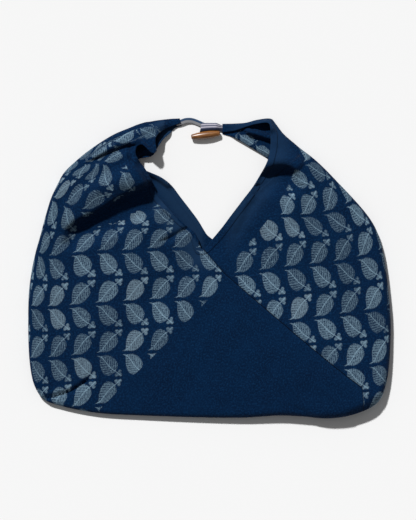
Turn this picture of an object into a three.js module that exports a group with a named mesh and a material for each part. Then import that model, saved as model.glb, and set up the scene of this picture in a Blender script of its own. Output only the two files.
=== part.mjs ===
// A horn bag laid flat on its back and seen from above: one long strip of cloth, folded and
// sewn into a pouch with a V-shaped mouth and two soft horns. A tape loop on the left horn
// and a striped tape with a wooden toggle on the right horn close into the handle.
// Millimetres. X runs across the bag, Y from its bottom to its handle, Z up from the surface.

import * as THREE from "three";

// Cloth and tape thicknesses
const CLOTH = 1.6;
const LOOP_TAPE = 1.0;
const TOGGLE_TAPE = 1.2;
const CLEARANCE = 0.45;
const LYING = CLOTH / 2;

// Grid of the bag's cloth: steps from rim to fold, round the fold, and from fold to back rim
const FRONT_STEPS = 15;
const FOLD_STEPS = 5;
const BACK_STEPS = 9;

// The strip's sections, from the left horn's tip round the bottom to the right horn's tip.
// fx fy fz   front rim, on the middle of the cloth
// ex ey er   outline of the bag, and the radius of the fold there
// bx by bz   back rim, on the middle of the cloth
// puff       how far the front panel swells between rim and fold
// steps      sections made from this row up to the next
const SECTION_COLUMNS = ["fx", "fy", "fz", "ex", "ey", "er", "bx", "by", "bz", "puff", "steps"];
const SECTIONS = [
  // Left horn: tip, roll, flap and open end
  [-44, 224, 5.8, -46, 231, 2.5, -43, 220, 0.8, 0, 1],
  [-56, 220, 7, -60, 230.5, 3, -54, 216, 0.8, 0, 2],
  [-71, 213, 18, -84, 228, 5.5, -62, 207, 10, 2, 2],
  [-82, 203, 22.5, -93, 226.1, 6, -72, 198.5, 12.5, 2.4, 1],
  [-83.5, 192, 24.5, -98, 224.9, 6.3, -77, 190.5, 14.5, 2.6, 1],
  [-81.5, 181, 25.5, -102, 223.8, 6.6, -81.5, 184, 16, 2.8, 1],
  [-86.5, 175.5, 26, -106, 222.6, 6.8, -84.5, 178.5, 17, 3, 1],
  [-95.5, 182.5, 27, -112, 220.6, 7, -87, 174.5, 17.5, 3.2, 1],
  [-104.5, 190, 28, -121, 217.4, 7.4, -91, 172, 18, 3.6, 3],
  [-112, 187, 28.5, -148, 205.5, 8, -98, 170.5, 18, 4, 2],
  [-114, 181, 29, -170, 192.2, 8.5, -107, 169, 16, 4, 2],
  [-113.5, 173.5, 29.3, -190, 178, 9, -115, 164, 12, 4, 2],
  [-108, 164, 30, -208, 163, 9, -111, 155, 7, 4, 3],
  // Left panel: billow, valley and the left side of the mouth
  [-96, 147, 30, -225, 146, 9, -94, 148, 3, 3, 3],
  [-88, 132, 28, -236, 126, 9, -74, 139, 1, 3, 3],
  [-83, 117, 20, -244, 109, 8.5, -59, 127, 0.8, 2, 3],
  [-71, 99, 14, -250, 91, 8, -46, 110, 0.8, 2, 4],
  [-35, 64, 11.8, -262, 47, 7.5, -18, 73, 0.8, 3, 2],
  [-23, 54, 11.4, -268, 26, 7.5, -9, 58, 0.8, 4, 2],
  [-17.5, 43, 11, -275, -7, 7.5, -4, 50.5, 0.8, 5, 2],
  [-15.5, 36, 10.8, -279.5, -47, 7.5, 0, 47, 0.8, 6, 3],
  [-13, 29.5, 10.6, -277.5, -150, 7, 6, 42.5, 0.8, 6, 2],
  // Bottom: left corner, long fold and the higher right corner
  [-12, 28.3, 10.6, -269.5, -185, 6.5, 8, 41.5, 0.8, 6, 2],
  [-11.2, 27.8, 10.6, -256, -204, 6, 10.5, 41, 0.8, 6, 2],
  [-10.2, 27.7, 10.6, -229, -214, 5.5, 12.5, 41, 0.8, 6, 1],
  [-8.8, 28.2, 10.6, -175, -224.5, 5.5, 14.5, 42, 0.8, 6, 2],
  [-7.2, 29.6, 10.6, -106, -228.5, 6, 16.5, 43, 0.8, 6, 3],
  [-3.6, 33.5, 10.6, 47, -232, 8, 20.5, 46.5, 0.8, 6, 1],
  [-1.2, 36.5, 10.6, 109, -228.5, 10, 22.5, 49, 0.8, 6, 1],
  [0.6, 39, 10.6, 145, -230, 11, 24.5, 51, 0.8, 6, 1],
  [3, 42, 10.6, 184, -233, 13, 26.5, 53.5, 0.8, 6, 1],
  [5, 44, 10.7, 225.5, -226, 14, 28.5, 56, 0.8, 6, 2],
  [7, 46.5, 10.8, 259.5, -208.5, 13, 31, 59, 0.8, 6, 2],
  [10, 50, 10.8, 273, -179, 11, 34, 63, 0.8, 6, 3],
  // Right panel and the right side of the mouth
  [21, 63.5, 11.2, 280, -97, 9, 45, 76, 0.8, 6, 2],
  [31, 77, 12.2, 277.5, -47, 9, 53.5, 88.5, 0.8, 6, 3],
  [55, 108.5, 14, 265, 36.5, 9, 73, 119.5, 0.8, 6, 2],
  [67.5, 125, 15, 250, 72, 9, 82, 135, 0.8, 5, 3],
  [88, 160.5, 17, 193, 137, 8.5, 95.5, 162.5, 0.8, 4, 2],
  // Right horn: turned edge, peak and the strap that fans out from its tip
  [92.5, 175, 18, 163.5, 166, 8, 89, 170, 2, 3, 1],
  [94.5, 189, 18, 135.5, 188, 7.5, 77.5, 178, 3.5, 2, 2],
  [94.5, 203, 17, 115.5, 207, 6.5, 66, 185, 4, 1, 1],
  [94, 216, 15, 103, 223, 4.5, 56, 191, 4, 0, 1],
  [91.5, 223.5, 10.5, 96, 230.5, 3.5, 48, 196, 4, 0, 2],
  [71, 222, 9, 73.5, 229, 3.2, 36.5, 202, 3, 0, 1],
  [56.5, 218, 7.6, 56.5, 224.5, 2.7, 31.5, 204, 2, 0, 1],
  [40, 212.5, 5.8, 38, 223, 2.3, 26.5, 205, 1.2, 0, 1],
  [20, 209.5, 4.6, 20, 222.5, 1.9, 20, 207, 0.8, 0, 0],
].map((row) => Object.fromEntries(SECTION_COLUMNS.map((name, k) => [name, row[k]])));

// Main folds: soft ridges (rise above 0) and troughs (below 0) along a path.
// rise    height at the path
// left    reach to the left of the path, looking along it
// right   reach to the right of the path
const FRONT_FOLDS = [
  { name: "roll crest", rise: 4, left: 9, right: 9, path: [[-192, 174], [-150, 194], [-92, 217]] },
  {
    name: "crease under the roll",
    rise: -8,
    left: 8,
    right: 12,
    path: [[-206, 159], [-185, 165], [-156, 177], [-138, 184.5], [-124, 188]],
  },
  {
    name: "billow",
    rise: 11,
    left: 24,
    right: 24,
    path: [[-228, 83], [-200, 100], [-162, 122], [-123, 142], [-97, 153]],
  },
  {
    name: "deep valley",
    rise: -8,
    left: 14,
    right: 20,
    path: [[-213, 59], [-173, 74], [-132, 91], [-98, 107], [-78, 117]],
  },
  { name: "short valley", rise: -3, left: 8, right: 8, path: [[-69, 42], [-30, 63]] },
  { name: "dimple", rise: -7, left: 16, right: 14, path: [[86, 122], [116, 154]] },
  { name: "border crease", rise: -2.5, left: 9, right: 9, path: [[44, 52], [72, 111]] },
  { name: "corner tuck", rise: -4, left: 14, right: 12, path: [[-246, -194], [-215, -186], [-182, -168]] },
];
const BACK_FOLDS = [
  { name: "strap's middle pleat", rise: 7, left: 4, right: 5, path: [[62, 211], [78, 206.5], [97, 199]] },
  { name: "strap's lower pleat", rise: 3, left: 6, right: 6, path: [[41, 204], [66, 191], [91, 177]] },
];

// Toggle: a turned barrel lying on the surface
const TOGGLE_LENGTH = 45;
const TOGGLE_RADIUS = 6;
const TOGGLE_END_RADIUS = 3.5;
const TOGGLE_SIDES = 24;
const TOGGLE_RINGS = 10;
const TOGGLE_CENTRE = new THREE.Vector3(-6, 205, TOGGLE_RADIUS + 0.05);
const TOGGLE_TURN = THREE.MathUtils.degToRad(7.4);

// Striped tape from inside the right horn's tip to the toggle's flank
const TAPE_START = 29;
const TAPE_END = -15;
const TAPE_SLANT = 3;
const TAPE_TOP_EDGE = 223.5;
const TAPE_IN_HORN = { top: 220, bottom: 214, height: 2.7 };
const TAPE_TURNED_WIDTH = 3.6;
const TAPE_OVER_LOOP = 6.5;
const TAPE_AT_TOGGLE = 8.6;
const TAPE_TUCK = THREE.MathUtils.degToRad(-35);
const TAPE_TURNS_DOWN = THREE.MathUtils.degToRad(18);

// Loop of tape from inside the left horn's tip to under the striped tape
const LOOP_WIDTH = 7.6;
const LOOP_GAP = 0.7;
const LOOP_PATH = [
  [-52, 223.3],
  [-45, 224.8],
  [-36, 227.6],
  [-27, 227.4],
  [-18, 224.2],
  [-8, 219.6],
];

function bell(distance) {
  const t = Math.min(Math.abs(distance), 1);
  return (1 - t * t) ** 2;
}

// Height that one fold adds at a point of the plan
function foldHeight(fold, x, y) {
  let nearest = Infinity;
  let reach = fold.left;
  for (let k = 0; k + 1 < fold.path.length; k += 1) {
    const [ax, ay] = fold.path[k];
    const [bx, by] = fold.path[k + 1];
    const dx = bx - ax;
    const dy = by - ay;
    const along = THREE.MathUtils.clamp(((x - ax) * dx + (y - ay) * dy) / (dx * dx + dy * dy), 0, 1);
    const px = x - ax - along * dx;
    const py = y - ay - along * dy;
    const distance = Math.hypot(px, py);
    if (distance < nearest) {
      nearest = distance;
      reach = dx * py - dy * px > 0 ? fold.left : fold.right;
    }
  }
  return fold.rise * bell(nearest / reach);
}

function foldsAt(folds, x, y) {
  return folds.reduce((sum, fold) => sum + foldHeight(fold, x, y), 0);
}

// Direction of a line of points at one of them, midway between the steps that meet there
function directionAt(before, at, after) {
  const arriving = new THREE.Vector3().subVectors(at, before).normalize();
  const leaving = new THREE.Vector3().subVectors(after, at).normalize();
  return arriving.add(leaving);
}

// A closed sheet of even thickness around a grid of points on its middle surface.
// rows[i][j] runs so that the outer side is to the right of i when seen along j.
function sheetSolid(rows, thickness) {
  const m = rows.length;
  const n = rows[0].length;
  const positions = [];
  const normal = new THREE.Vector3();
  for (const side of [0.5, -0.5]) {
    for (let i = 0; i < m; i += 1) {
      for (let j = 0; j < n; j += 1) {
        const at = rows[i][j];
        const alongI = directionAt(rows[Math.max(i - 1, 0)][j], at, rows[Math.min(i + 1, m - 1)][j]);
        const alongJ = directionAt(rows[i][Math.max(j - 1, 0)], at, rows[i][Math.min(j + 1, n - 1)]);
        normal.crossVectors(alongJ, alongI).normalize();
        positions.push(...at.clone().addScaledVector(normal, side * thickness));
      }
    }
  }
  const outer = (i, j) => i * n + j;
  const inner = (i, j) => m * n + i * n + j;
  const index = [];
  const quad = (a, b, c, d) => index.push(a, b, c, a, c, d);
  for (let i = 0; i + 1 < m; i += 1) {
    for (let j = 0; j + 1 < n; j += 1) {
      quad(outer(i, j), outer(i, j + 1), outer(i + 1, j + 1), outer(i + 1, j));
      quad(inner(i, j), inner(i + 1, j), inner(i + 1, j + 1), inner(i, j + 1));
    }
    quad(inner(i, 0), outer(i, 0), outer(i + 1, 0), inner(i + 1, 0));
    quad(outer(i, n - 1), inner(i, n - 1), inner(i + 1, n - 1), outer(i + 1, n - 1));
  }
  for (let j = 0; j + 1 < n; j += 1) {
    quad(outer(0, j), inner(0, j), inner(0, j + 1), outer(0, j + 1));
    quad(inner(m - 1, j), outer(m - 1, j), outer(m - 1, j + 1), inner(m - 1, j + 1));
  }
  const geometry = new THREE.BufferGeometry();
  geometry.setAttribute("position", new THREE.Float32BufferAttribute(positions, 3));
  geometry.setIndex(index);
  geometry.computeVertexNormals();
  return geometry;
}

// Closer steps near both ends of a run from 0 to 1
function eased(k, steps) {
  const t = k / steps;
  return t - (0.3 * Math.sin(2 * Math.PI * t)) / (2 * Math.PI);
}

// One section of the bag: front panel, fold at the outline, back panel
function bagSection(front, edge, outward, back, puff) {
  const radius = edge.z;
  const foldX = edge.x - radius * outward.x;
  const foldY = edge.y - radius * outward.y;
  const points = [];
  for (let k = 0; k <= FRONT_STEPS; k += 1) {
    const s = eased(k, FRONT_STEPS);
    const x = THREE.MathUtils.lerp(front.x, foldX, s);
    const y = THREE.MathUtils.lerp(front.y, foldY, s);
    const level = THREE.MathUtils.lerp(front.z, LYING + 2 * radius, s);
    const fade = 1 - THREE.MathUtils.smoothstep(s, 0.72, 1);
    points.push(new THREE.Vector3(x, y, level + 4 * puff * s * (1 - s) + fade * foldsAt(FRONT_FOLDS, x, y)));
  }
  for (let k = 1; k < FOLD_STEPS; k += 1) {
    const angle = Math.PI * (0.5 - k / FOLD_STEPS);
    const out = radius * Math.cos(angle);
    points.push(
      new THREE.Vector3(
        foldX + out * outward.x,
        foldY + out * outward.y,
        LYING + radius + radius * Math.sin(angle),
      ),
    );
  }
  for (let k = 0; k <= BACK_STEPS; k += 1) {
    const s = eased(k, BACK_STEPS);
    const x = THREE.MathUtils.lerp(foldX, back.x, s);
    const y = THREE.MathUtils.lerp(foldY, back.y, s);
    const lift = Math.max(back.z - LYING, 0) * s * s;
    const fade = THREE.MathUtils.smoothstep(s, 0, 0.3);
    points.push(new THREE.Vector3(x, y, LYING + lift + fade * foldsAt(BACK_FOLDS, x, y)));
  }
  return points;
}

function bagCloth() {
  const curveOf = (x, y, z) =>
    new THREE.CatmullRomCurve3(
      SECTIONS.map((row) => new THREE.Vector3(row[x], row[y], row[z])),
      false,
      "centripetal",
    );
  const frontRim = curveOf("fx", "fy", "fz");
  const outline = curveOf("ex", "ey", "er");
  const backRim = curveOf("bx", "by", "bz");
  const last = SECTIONS.length - 1;
  const rows = [];
  SECTIONS.forEach((row, r) => {
    const sectionsHere = r === last ? 1 : row.steps;
    for (let k = 0; k < sectionsHere; k += 1) {
      const share = r === last ? 0 : k / row.steps;
      const t = (r + share) / last;
      const tangent = outline.getTangent(t);
      const outward = new THREE.Vector2(tangent.y, -tangent.x).normalize();
      const puff = r === last ? row.puff : THREE.MathUtils.lerp(row.puff, SECTIONS[r + 1].puff, share);
      rows.push(
        bagSection(frontRim.getPoint(t), outline.getPoint(t), outward, backRim.getPoint(t), puff),
      );
    }
  });
  return sheetSolid(rows, CLOTH);
}

function barrelRadius(along) {
  const t = (2 * along) / TOGGLE_LENGTH;
  return TOGGLE_RADIUS - (TOGGLE_RADIUS - TOGGLE_END_RADIUS) * t * t;
}

function toggle() {
  const half = TOGGLE_LENGTH / 2;
  const profile = [new THREE.Vector2(0, -half)];
  for (let k = 0; k <= TOGGLE_RINGS; k += 1) {
    const along = THREE.MathUtils.lerp(-half, half, k / TOGGLE_RINGS);
    profile.push(new THREE.Vector2(barrelRadius(along), along));
  }
  profile.push(new THREE.Vector2(0, half));
  return new THREE.LatheGeometry(profile, TOGGLE_SIDES);
}

// The striped tape: flat inside the horn's tip, then across to the toggle, where its lower
// edge turns down round the barrel's flank
function toggleTape() {
  const lengthSteps = 14;
  const flatSteps = 5;
  const turnSteps = 5;
  const rows = [];
  for (let i = 0; i <= lengthSteps; i += 1) {
    const along = i / lengthSteps;
    const x = THREE.MathUtils.lerp(TAPE_END, TAPE_START, along);
    const free = 1 - THREE.MathUtils.smoothstep(x, 8, 20);
    const fromCentre = (x - TOGGLE_CENTRE.x) / Math.cos(TOGGLE_TURN);
    const axisY = TOGGLE_CENTRE.y + fromCentre * Math.sin(TOGGLE_TURN);
    const wrap = barrelRadius(fromCentre) + CLEARANCE + TOGGLE_TAPE / 2;
    const points = [];
    const topY = THREE.MathUtils.lerp(TAPE_IN_HORN.top, TAPE_TOP_EDGE, free);
    const endAt = (angle) => [
      THREE.MathUtils.lerp(TAPE_IN_HORN.bottom, axisY + wrap * Math.cos(angle), free),
      THREE.MathUtils.lerp(TAPE_IN_HORN.height, TOGGLE_CENTRE.z + wrap * Math.sin(angle), free),
    ];
    const [cornerY, cornerZ] = endAt(TAPE_TURNS_DOWN);
    const topZ = THREE.MathUtils.lerp(TAPE_IN_HORN.height, TAPE_OVER_LOOP, free);
    for (let j = 0; j < flatSteps; j += 1) {
      const s = j / flatSteps;
      const rise = (TAPE_AT_TOGGLE - TAPE_OVER_LOOP) * free * Math.sin(Math.PI * s) * 0.3;
      const slant = TAPE_SLANT * (1 - s) * (1 - along);
      points.push(
        new THREE.Vector3(
          x + slant,
          THREE.MathUtils.lerp(topY, cornerY, s),
          THREE.MathUtils.lerp(topZ, cornerZ, s) + rise,
        ),
      );
    }
    for (let j = 0; j <= turnSteps; j += 1) {
      const s = j / turnSteps;
      const [y, z] = endAt(THREE.MathUtils.lerp(TAPE_TURNS_DOWN, TAPE_TUCK, s));
      const spread = (1 - free) ** 3 * TAPE_TURNED_WIDTH * s;
      points.push(new THREE.Vector3(x, y - spread, z));
    }
    rows.push(points);
  }
  return sheetSolid(rows, TOGGLE_TAPE);
}

// The tape loop: an upper run out of the horn's tip, a round end, and a lower run back into it
function loopTape() {
  const widthSteps = 2;
  const endSteps = 4;
  const runSteps = 10;
  const centre = new THREE.CatmullRomCurve3(LOOP_PATH.map(([x, y]) => new THREE.Vector3(x, y, 0)));
  const turn = (LOOP_GAP + LOOP_TAPE) / 2;
  const inTip = LYING + SECTIONS[0].er;
  const line = [];
  for (let k = 0; k <= runSteps; k += 1) line.push([k / runSteps, 0, turn]);
  for (let k = 1; k < endSteps; k += 1) {
    const angle = Math.PI * (0.5 - k / endSteps);
    line.push([1, turn * Math.cos(angle), turn * Math.sin(angle)]);
  }
  for (let k = runSteps; k >= 0; k -= 1) line.push([k / runSteps, 0, -turn]);
  const rows = line.map(([t, beyond, up]) => {
    const at = centre.getPoint(t);
    const tangent = centre.getTangent(t);
    const sag = (inTip - turn - LOOP_TAPE / 2) * THREE.MathUtils.smoothstep(t, 0.25, 0.8);
    const points = [];
    for (let j = 0; j <= widthSteps; j += 1) {
      const across = LOOP_WIDTH * (j / widthSteps - 0.5);
      points.push(
        new THREE.Vector3(
          at.x + beyond * tangent.x + across * tangent.y,
          at.y + beyond * tangent.y - across * tangent.x,
          inTip - sag + up,
        ),
      );
    }
    return points;
  });
  return sheetSolid(rows, LOOP_TAPE);
}

function finish(color, roughness) {
  return new THREE.MeshStandardMaterial({ color, roughness, metalness: 0, side: THREE.DoubleSide });
}

function piece(name, geometry, material) {
  const mesh = new THREE.Mesh(geometry, material);
  mesh.name = name;
  return mesh;
}

const bag = new THREE.Group();
bag.add(piece("bag_cloth", bagCloth(), finish(0x14376b, 0.95)));
bag.add(piece("loop_tape", loopTape(), finish(0x4f6a8c, 0.9)));
bag.add(piece("toggle_tape", toggleTape(), finish(0x8788a0, 0.9)));

const barrel = piece("toggle", toggle(), finish(0x94592e, 0.35));
barrel.position.copy(TOGGLE_CENTRE);
barrel.rotation.z = TOGGLE_TURN - Math.PI / 2;
bag.add(barrel);

export default bag;
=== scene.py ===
"""A horn bag of leaf-printed indigo cotton, lying flat, with its tape loop and wooden toggle."""

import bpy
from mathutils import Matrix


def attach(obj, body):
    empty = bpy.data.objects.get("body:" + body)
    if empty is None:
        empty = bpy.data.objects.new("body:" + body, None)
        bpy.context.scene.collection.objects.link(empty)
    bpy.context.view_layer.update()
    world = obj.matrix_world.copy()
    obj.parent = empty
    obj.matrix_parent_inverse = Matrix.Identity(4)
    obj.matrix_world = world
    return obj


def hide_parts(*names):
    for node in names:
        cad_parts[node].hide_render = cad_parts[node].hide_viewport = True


bl_info = {
    "name": "Horn Bag",
    "version": (1, 0, 0),
    "blender": (4, 5, 0),
    "location": "3D View > Sidebar > Horn Bag",
    "description": "Builds the cloth, tapes, stitches and toggle of a horn bag that lies flat",
    "category": "Add Mesh",
}

import math

import bpy
import numpy as np
from bpy.props import FloatProperty, FloatVectorProperty, PointerProperty
from mathutils import Matrix, Vector

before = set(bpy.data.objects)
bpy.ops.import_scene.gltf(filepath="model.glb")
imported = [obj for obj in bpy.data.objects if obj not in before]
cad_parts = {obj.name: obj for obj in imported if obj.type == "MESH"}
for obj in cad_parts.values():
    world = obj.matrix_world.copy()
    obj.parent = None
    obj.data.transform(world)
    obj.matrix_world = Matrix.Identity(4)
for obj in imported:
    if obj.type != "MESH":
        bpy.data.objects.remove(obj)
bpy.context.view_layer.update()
BODY = "root"
MM = 0.001

# The strip's sections in millimetres, from the left horn's tip round the bottom to the right
# horn's tip, as the solids have them.
# fx fy fz   front rim, on the middle of the cloth
# ex ey er   outline of the bag, and the radius of the fold there
# bx by bz   back rim, on the middle of the cloth
# puff       how far the front panel swells between rim and fold
SECTIONS = np.array([
    # Left horn: tip, roll, flap and open end
    (-44, 224, 5.8, -46, 231, 2.5, -43, 220, 0.8, 0),
    (-56, 220, 7, -60, 230.5, 3, -54, 216, 0.8, 0),
    (-71, 213, 18, -84, 228, 5.5, -62, 207, 10, 2),
    (-82, 203, 22.5, -93, 226.1, 6, -72, 198.5, 12.5, 2.4),
    (-83.5, 192, 24.5, -98, 224.9, 6.3, -77, 190.5, 14.5, 2.6),
    (-81.5, 181, 25.5, -102, 223.8, 6.6, -81.5, 184, 16, 2.8),
    (-86.5, 175.5, 26, -106, 222.6, 6.8, -84.5, 178.5, 17, 3),
    (-95.5, 182.5, 27, -112, 220.6, 7, -87, 174.5, 17.5, 3.2),
    (-104.5, 190, 28, -121, 217.4, 7.4, -91, 172, 18, 3.6),
    (-112, 187, 28.5, -148, 205.5, 8, -98, 170.5, 18, 4),
    (-114, 181, 29, -170, 192.2, 8.5, -107, 169, 16, 4),
    (-113.5, 173.5, 29.3, -190, 178, 9, -115, 164, 12, 4),
    (-108, 164, 30, -208, 163, 9, -111, 155, 7, 4),
    # Left panel: billow, valley and the left side of the mouth
    (-96, 147, 30, -225, 146, 9, -94, 148, 3, 3),
    (-88, 132, 28, -236, 126, 9, -74, 139, 1, 3),
    (-83, 117, 20, -244, 109, 8.5, -59, 127, 0.8, 2),
    (-71, 99, 14, -250, 91, 8, -46, 110, 0.8, 2),
    (-35, 64, 11.8, -262, 47, 7.5, -18, 73, 0.8, 3),
    (-23, 54, 11.4, -268, 26, 7.5, -9, 58, 0.8, 4),
    (-17.5, 43, 11, -275, -7, 7.5, -4, 50.5, 0.8, 5),
    (-15.5, 36, 10.8, -279.5, -47, 7.5, 0, 47, 0.8, 6),
    (-13, 29.5, 10.6, -277.5, -150, 7, 6, 42.5, 0.8, 6),
    # Bottom: left corner, long fold and the higher right corner
    (-12, 28.3, 10.6, -269.5, -185, 6.5, 8, 41.5, 0.8, 6),
    (-11.2, 27.8, 10.6, -256, -204, 6, 10.5, 41, 0.8, 6),
    (-10.2, 27.7, 10.6, -229, -214, 5.5, 12.5, 41, 0.8, 6),
    (-8.8, 28.2, 10.6, -175, -224.5, 5.5, 14.5, 42, 0.8, 6),
    (-7.2, 29.6, 10.6, -106, -228.5, 6, 16.5, 43, 0.8, 6),
    (-3.6, 33.5, 10.6, 47, -232, 8, 20.5, 46.5, 0.8, 6),
    (-1.2, 36.5, 10.6, 109, -228.5, 10, 22.5, 49, 0.8, 6),
    (0.6, 39, 10.6, 145, -230, 11, 24.5, 51, 0.8, 6),
    (3, 42, 10.6, 184, -233, 13, 26.5, 53.5, 0.8, 6),
    (5, 44, 10.7, 225.5, -226, 14, 28.5, 56, 0.8, 6),
    (7, 46.5, 10.8, 259.5, -208.5, 13, 31, 59, 0.8, 6),
    (10, 50, 10.8, 273, -179, 11, 34, 63, 0.8, 6),
    # Right panel and the right side of the mouth
    (21, 63.5, 11.2, 280, -97, 9, 45, 76, 0.8, 6),
    (31, 77, 12.2, 277.5, -47, 9, 53.5, 88.5, 0.8, 6),
    (55, 108.5, 14, 265, 36.5, 9, 73, 119.5, 0.8, 6),
    (67.5, 125, 15, 250, 72, 9, 82, 135, 0.8, 5),
    (88, 160.5, 17, 193, 137, 8.5, 95.5, 162.5, 0.8, 4),
    # Right horn: turned edge, peak and the strap that fans out from its tip
    (92.5, 175, 18, 163.5, 166, 8, 89, 170, 2, 3),
    (94.5, 189, 18, 135.5, 188, 7.5, 77.5, 178, 3.5, 2),
    (94.5, 203, 17, 115.5, 207, 6.5, 66, 185, 4, 1),
    (94, 216, 15, 103, 223, 4.5, 56, 191, 4, 0),
    (91.5, 223.5, 10.5, 96, 230.5, 3.5, 48, 196, 4, 0),
    (71, 222, 9, 73.5, 229, 3.2, 36.5, 202, 3, 0),
    (56.5, 218, 7.6, 56.5, 224.5, 2.7, 31.5, 204, 2, 0),
    (40, 212.5, 5.8, 38, 223, 2.3, 26.5, 205, 1.2, 0),
    (20, 209.5, 4.6, 20, 222.5, 1.9, 20, 207, 0.8, 0),
], float)
FRONT_RIM = SECTIONS[:, 0:3]
OUTLINE = SECTIONS[:, 3:6]
BACK_RIM = SECTIONS[:, 6:9]
PUFF = SECTIONS[:, 9]

# Folds of the front and the back panel in millimetres: the height at the path, the reach to the
# left and to the right of it, how sharp the crest is from 0 to 1, and the path
FRONT_FOLDS = [
    # Right horn's turned strip stands up beside the mouth
    (5, 11, 11, 0, [(78, 222), (88, 223), (95, 216)]),
    # Left horn's strip beside the flap lies low
    (-6, 8, 8, 0, [(-65, 215), (-74, 209)]),
    # Left horn's roll and the crease under it
    (4, 9, 9, 0, [(-192, 174), (-150, 194), (-92, 217)]),
    (-8, 8, 12, 0.5, [(-206, 159), (-185, 165), (-156, 177), (-138, 184.5), (-124, 188)]),
    # Billow, the deep valley below it and its two inner creases
    (10, 24, 24, 0, [(-228, 83), (-200, 100), (-162, 122), (-123, 142), (-103, 150)]),
    (-17, 19, 27, 0.1, [(-212, 46), (-172, 63), (-131, 81), (-97, 99), (-76, 115)]),
    (-2, 4, 5, 0.7, [(-160, 71), (-120, 86), (-90, 103)]),
    # Short valleys along the left rim and the mouth
    (-4, 8, 9, 0.3, [(-69, 42), (-30, 63)]),
    (-1.6, 5, 5, 0.5, [(-100, 66), (-62, 88)]),
    # Right panel: dimple, its tail and the crease along the plain border
    (-16, 22, 28, 0, [(86, 132), (106, 137), (124, 133)]),
    (-2, 8, 8, 0.4, [(70, 96), (90, 126)]),
    (-2.5, 9, 9, 0.2, [(44, 52), (72, 111)]),
    # Left corner's tuck
    (-4, 12, 10, 0.2, [(-246, -194), (-215, -186), (-182, -168)]),
    # The billow's right end turns down steeply to the mouth's rim
    (-16, 15, 15, 0.1, [(-103, 158), (-96, 147), (-88, 132)]),
]
# Creases that run out over the outline: the left corner's tuck, the puckers of the bottom and
# of the right corner
EDGE_CREASES = [
    (-5.5, 4, 6, 0.7, [(-262, -204), (-248, -200), (-235, -196), (-218, -191), (-204, -183), (-188, -173)]),
    (-1.4, 3, 3, 0.9, [(-245, -194), (-239, -170)]),
    (-3, 5, 7, 0.5, [(126, -212), (140, -219), (156, -227)]),
    (-3, 4, 8, 0.6, [(218, -224), (246, -211), (264, -201)]),
    (-2.5, 3, 3, 0.9, [(252, -204), (268, -201)]),
]
BACK_FOLDS = [
    # Right horn's strap: middle and lower pleat
    (12, 9, 5, 0.2, [(60, 210), (78, 205.5), (95, 200)]),
    (-5, 6, 6, 0, [(66, 217), (82, 216), (100, 211)]),
    (3, 6, 6, 0, [(41, 204), (66, 191), (91, 177)]),
    # Left side of the mouth: the back rim stands up a little
    (7, 10, 10, 0, [(-96, 149), (-76, 140), (-64, 131)]),
    # Left horn: the back layer dips under the arch and lies low beside the flap
    (-9, 11, 11, 0, [(-106, 170), (-97, 172), (-89, 174)]),
    (-5, 9, 9, 0, [(-57, 213), (-64, 207), (-71, 200)]),
]

# Steep lips in millimetres, where cloth drops off to the right of a path: half the drop, the
# reach on either side, how narrow the drop is, and the path
FRONT_LIPS = [
    # Below the billow, below the left horn's roll, in the dimple, and beside the short valley
    (13.5, 28, 3, [(-232, 52), (-208, 69), (-175, 86), (-136, 108), (-95, 128), (-50, 146)]),
    (6.5, 15, 2.6, [(-226, 146), (-206, 160), (-185, 166), (-156, 178), (-128, 188), (-104, 195)]),
    (18, 32, 9, [(70, 139), (86, 151), (104, 157), (122, 156), (140, 146)]),
    (2.2, 10, 2, [(-80, 40), (-60, 48), (-40, 60), (-20, 72)]),
    # Beside the hood's hem
    (3, 12, 1.6, [(-112, 147), (-118, 155), (-124, 165), (-126.5, 177), (-125, 188)]),
]
BILLOW_LIP, ROLL_LIP = FRONT_LIPS[:2]
# Lips that run out over the outline: the left corner's tuck, the bottom's pucker and the right
# corner's crease
EDGE_LIPS = [
    (4.4, 15, 1.8, [(-292, -214), (-250, -201), (-232, -195), (-214, -189), (-200, -180), (-180, -169)]),
    (3, 12, 1.6, [(106, -208), (132, -219), (152, -227), (180, -240)]),
    (2, 12, 1.6, [(214, -226), (244, -212), (270, -199)]),
]

# Seam of the front, from the mouth's crossing to the bottom right corner, in millimetres
FRONT_SEAM = [(-17.8, 38), (21, -7), (60, -41), (129, -100), (195, -155), (236, -186), (238, -225)]
# The back's seam is the front's, mirrored
BACK_SEAM = [(-x, y) for x, y in FRONT_SEAM]

# Places of leaf tips and leaf bases on the two panels, read from the photo: column and
# row of the print, and the place on the panel in millimetres. Tips are on whole rows, bases
# midway between them.
LEFT_PINS = [
    (-2, -2, -190.5, 160.9), (-1, -2, -173.3, 162.6), (0, -2, -164.5, 162.0), (1, -2, -135.9, 150.2),
    (-1.13, -1.5, -206.0, 136.6), (-0.13, -1.5, -185.7, 129.7), (0.87, -1.5, -153.1, 117.0),
    (1.87, -1.5, -120.0, 115.0),
    (-2, -1, -244.6, 106.2), (-1, -1, -223.5, 97.7), (0, -1, -197.5, 87.6),
    (-1.13, -0.5, -241.6, 57.7), (-0.13, -0.5, -211.3, 53.8), (0.87, -0.5, -172.8, 60.5),
    (1.87, -0.5, -135.9, 64.3), (3.87, -0.5, -60.3, 64.5),
    (-2, 0, -265.2, 20.9), (-1, 0, -249.0, 15.8), (0, 0, -211.4, 20.6), (2, 0, -135.6, 24.0),
    (4, 0, -57.7, 28.7), (5, 0, -20.3, 28.7),
    (-1.13, 0.5, -253.4, -23.3), (1.87, 0.5, -138.7, -14.9), (4.87, 0.5, -20.0, -8.5),
    (-1, 1, -249.7, -62.0), (5, 1, -16.4, -48.2),
    (-1, 2, -248.8, -140.9), (1, 2, -174.4, -134.1), (3, 2, -95.3, -130.5),
    (-1.13, 2.5, -253.0, -181.7), (1.87, 2.5, -140.0, -170.3),
]
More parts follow.
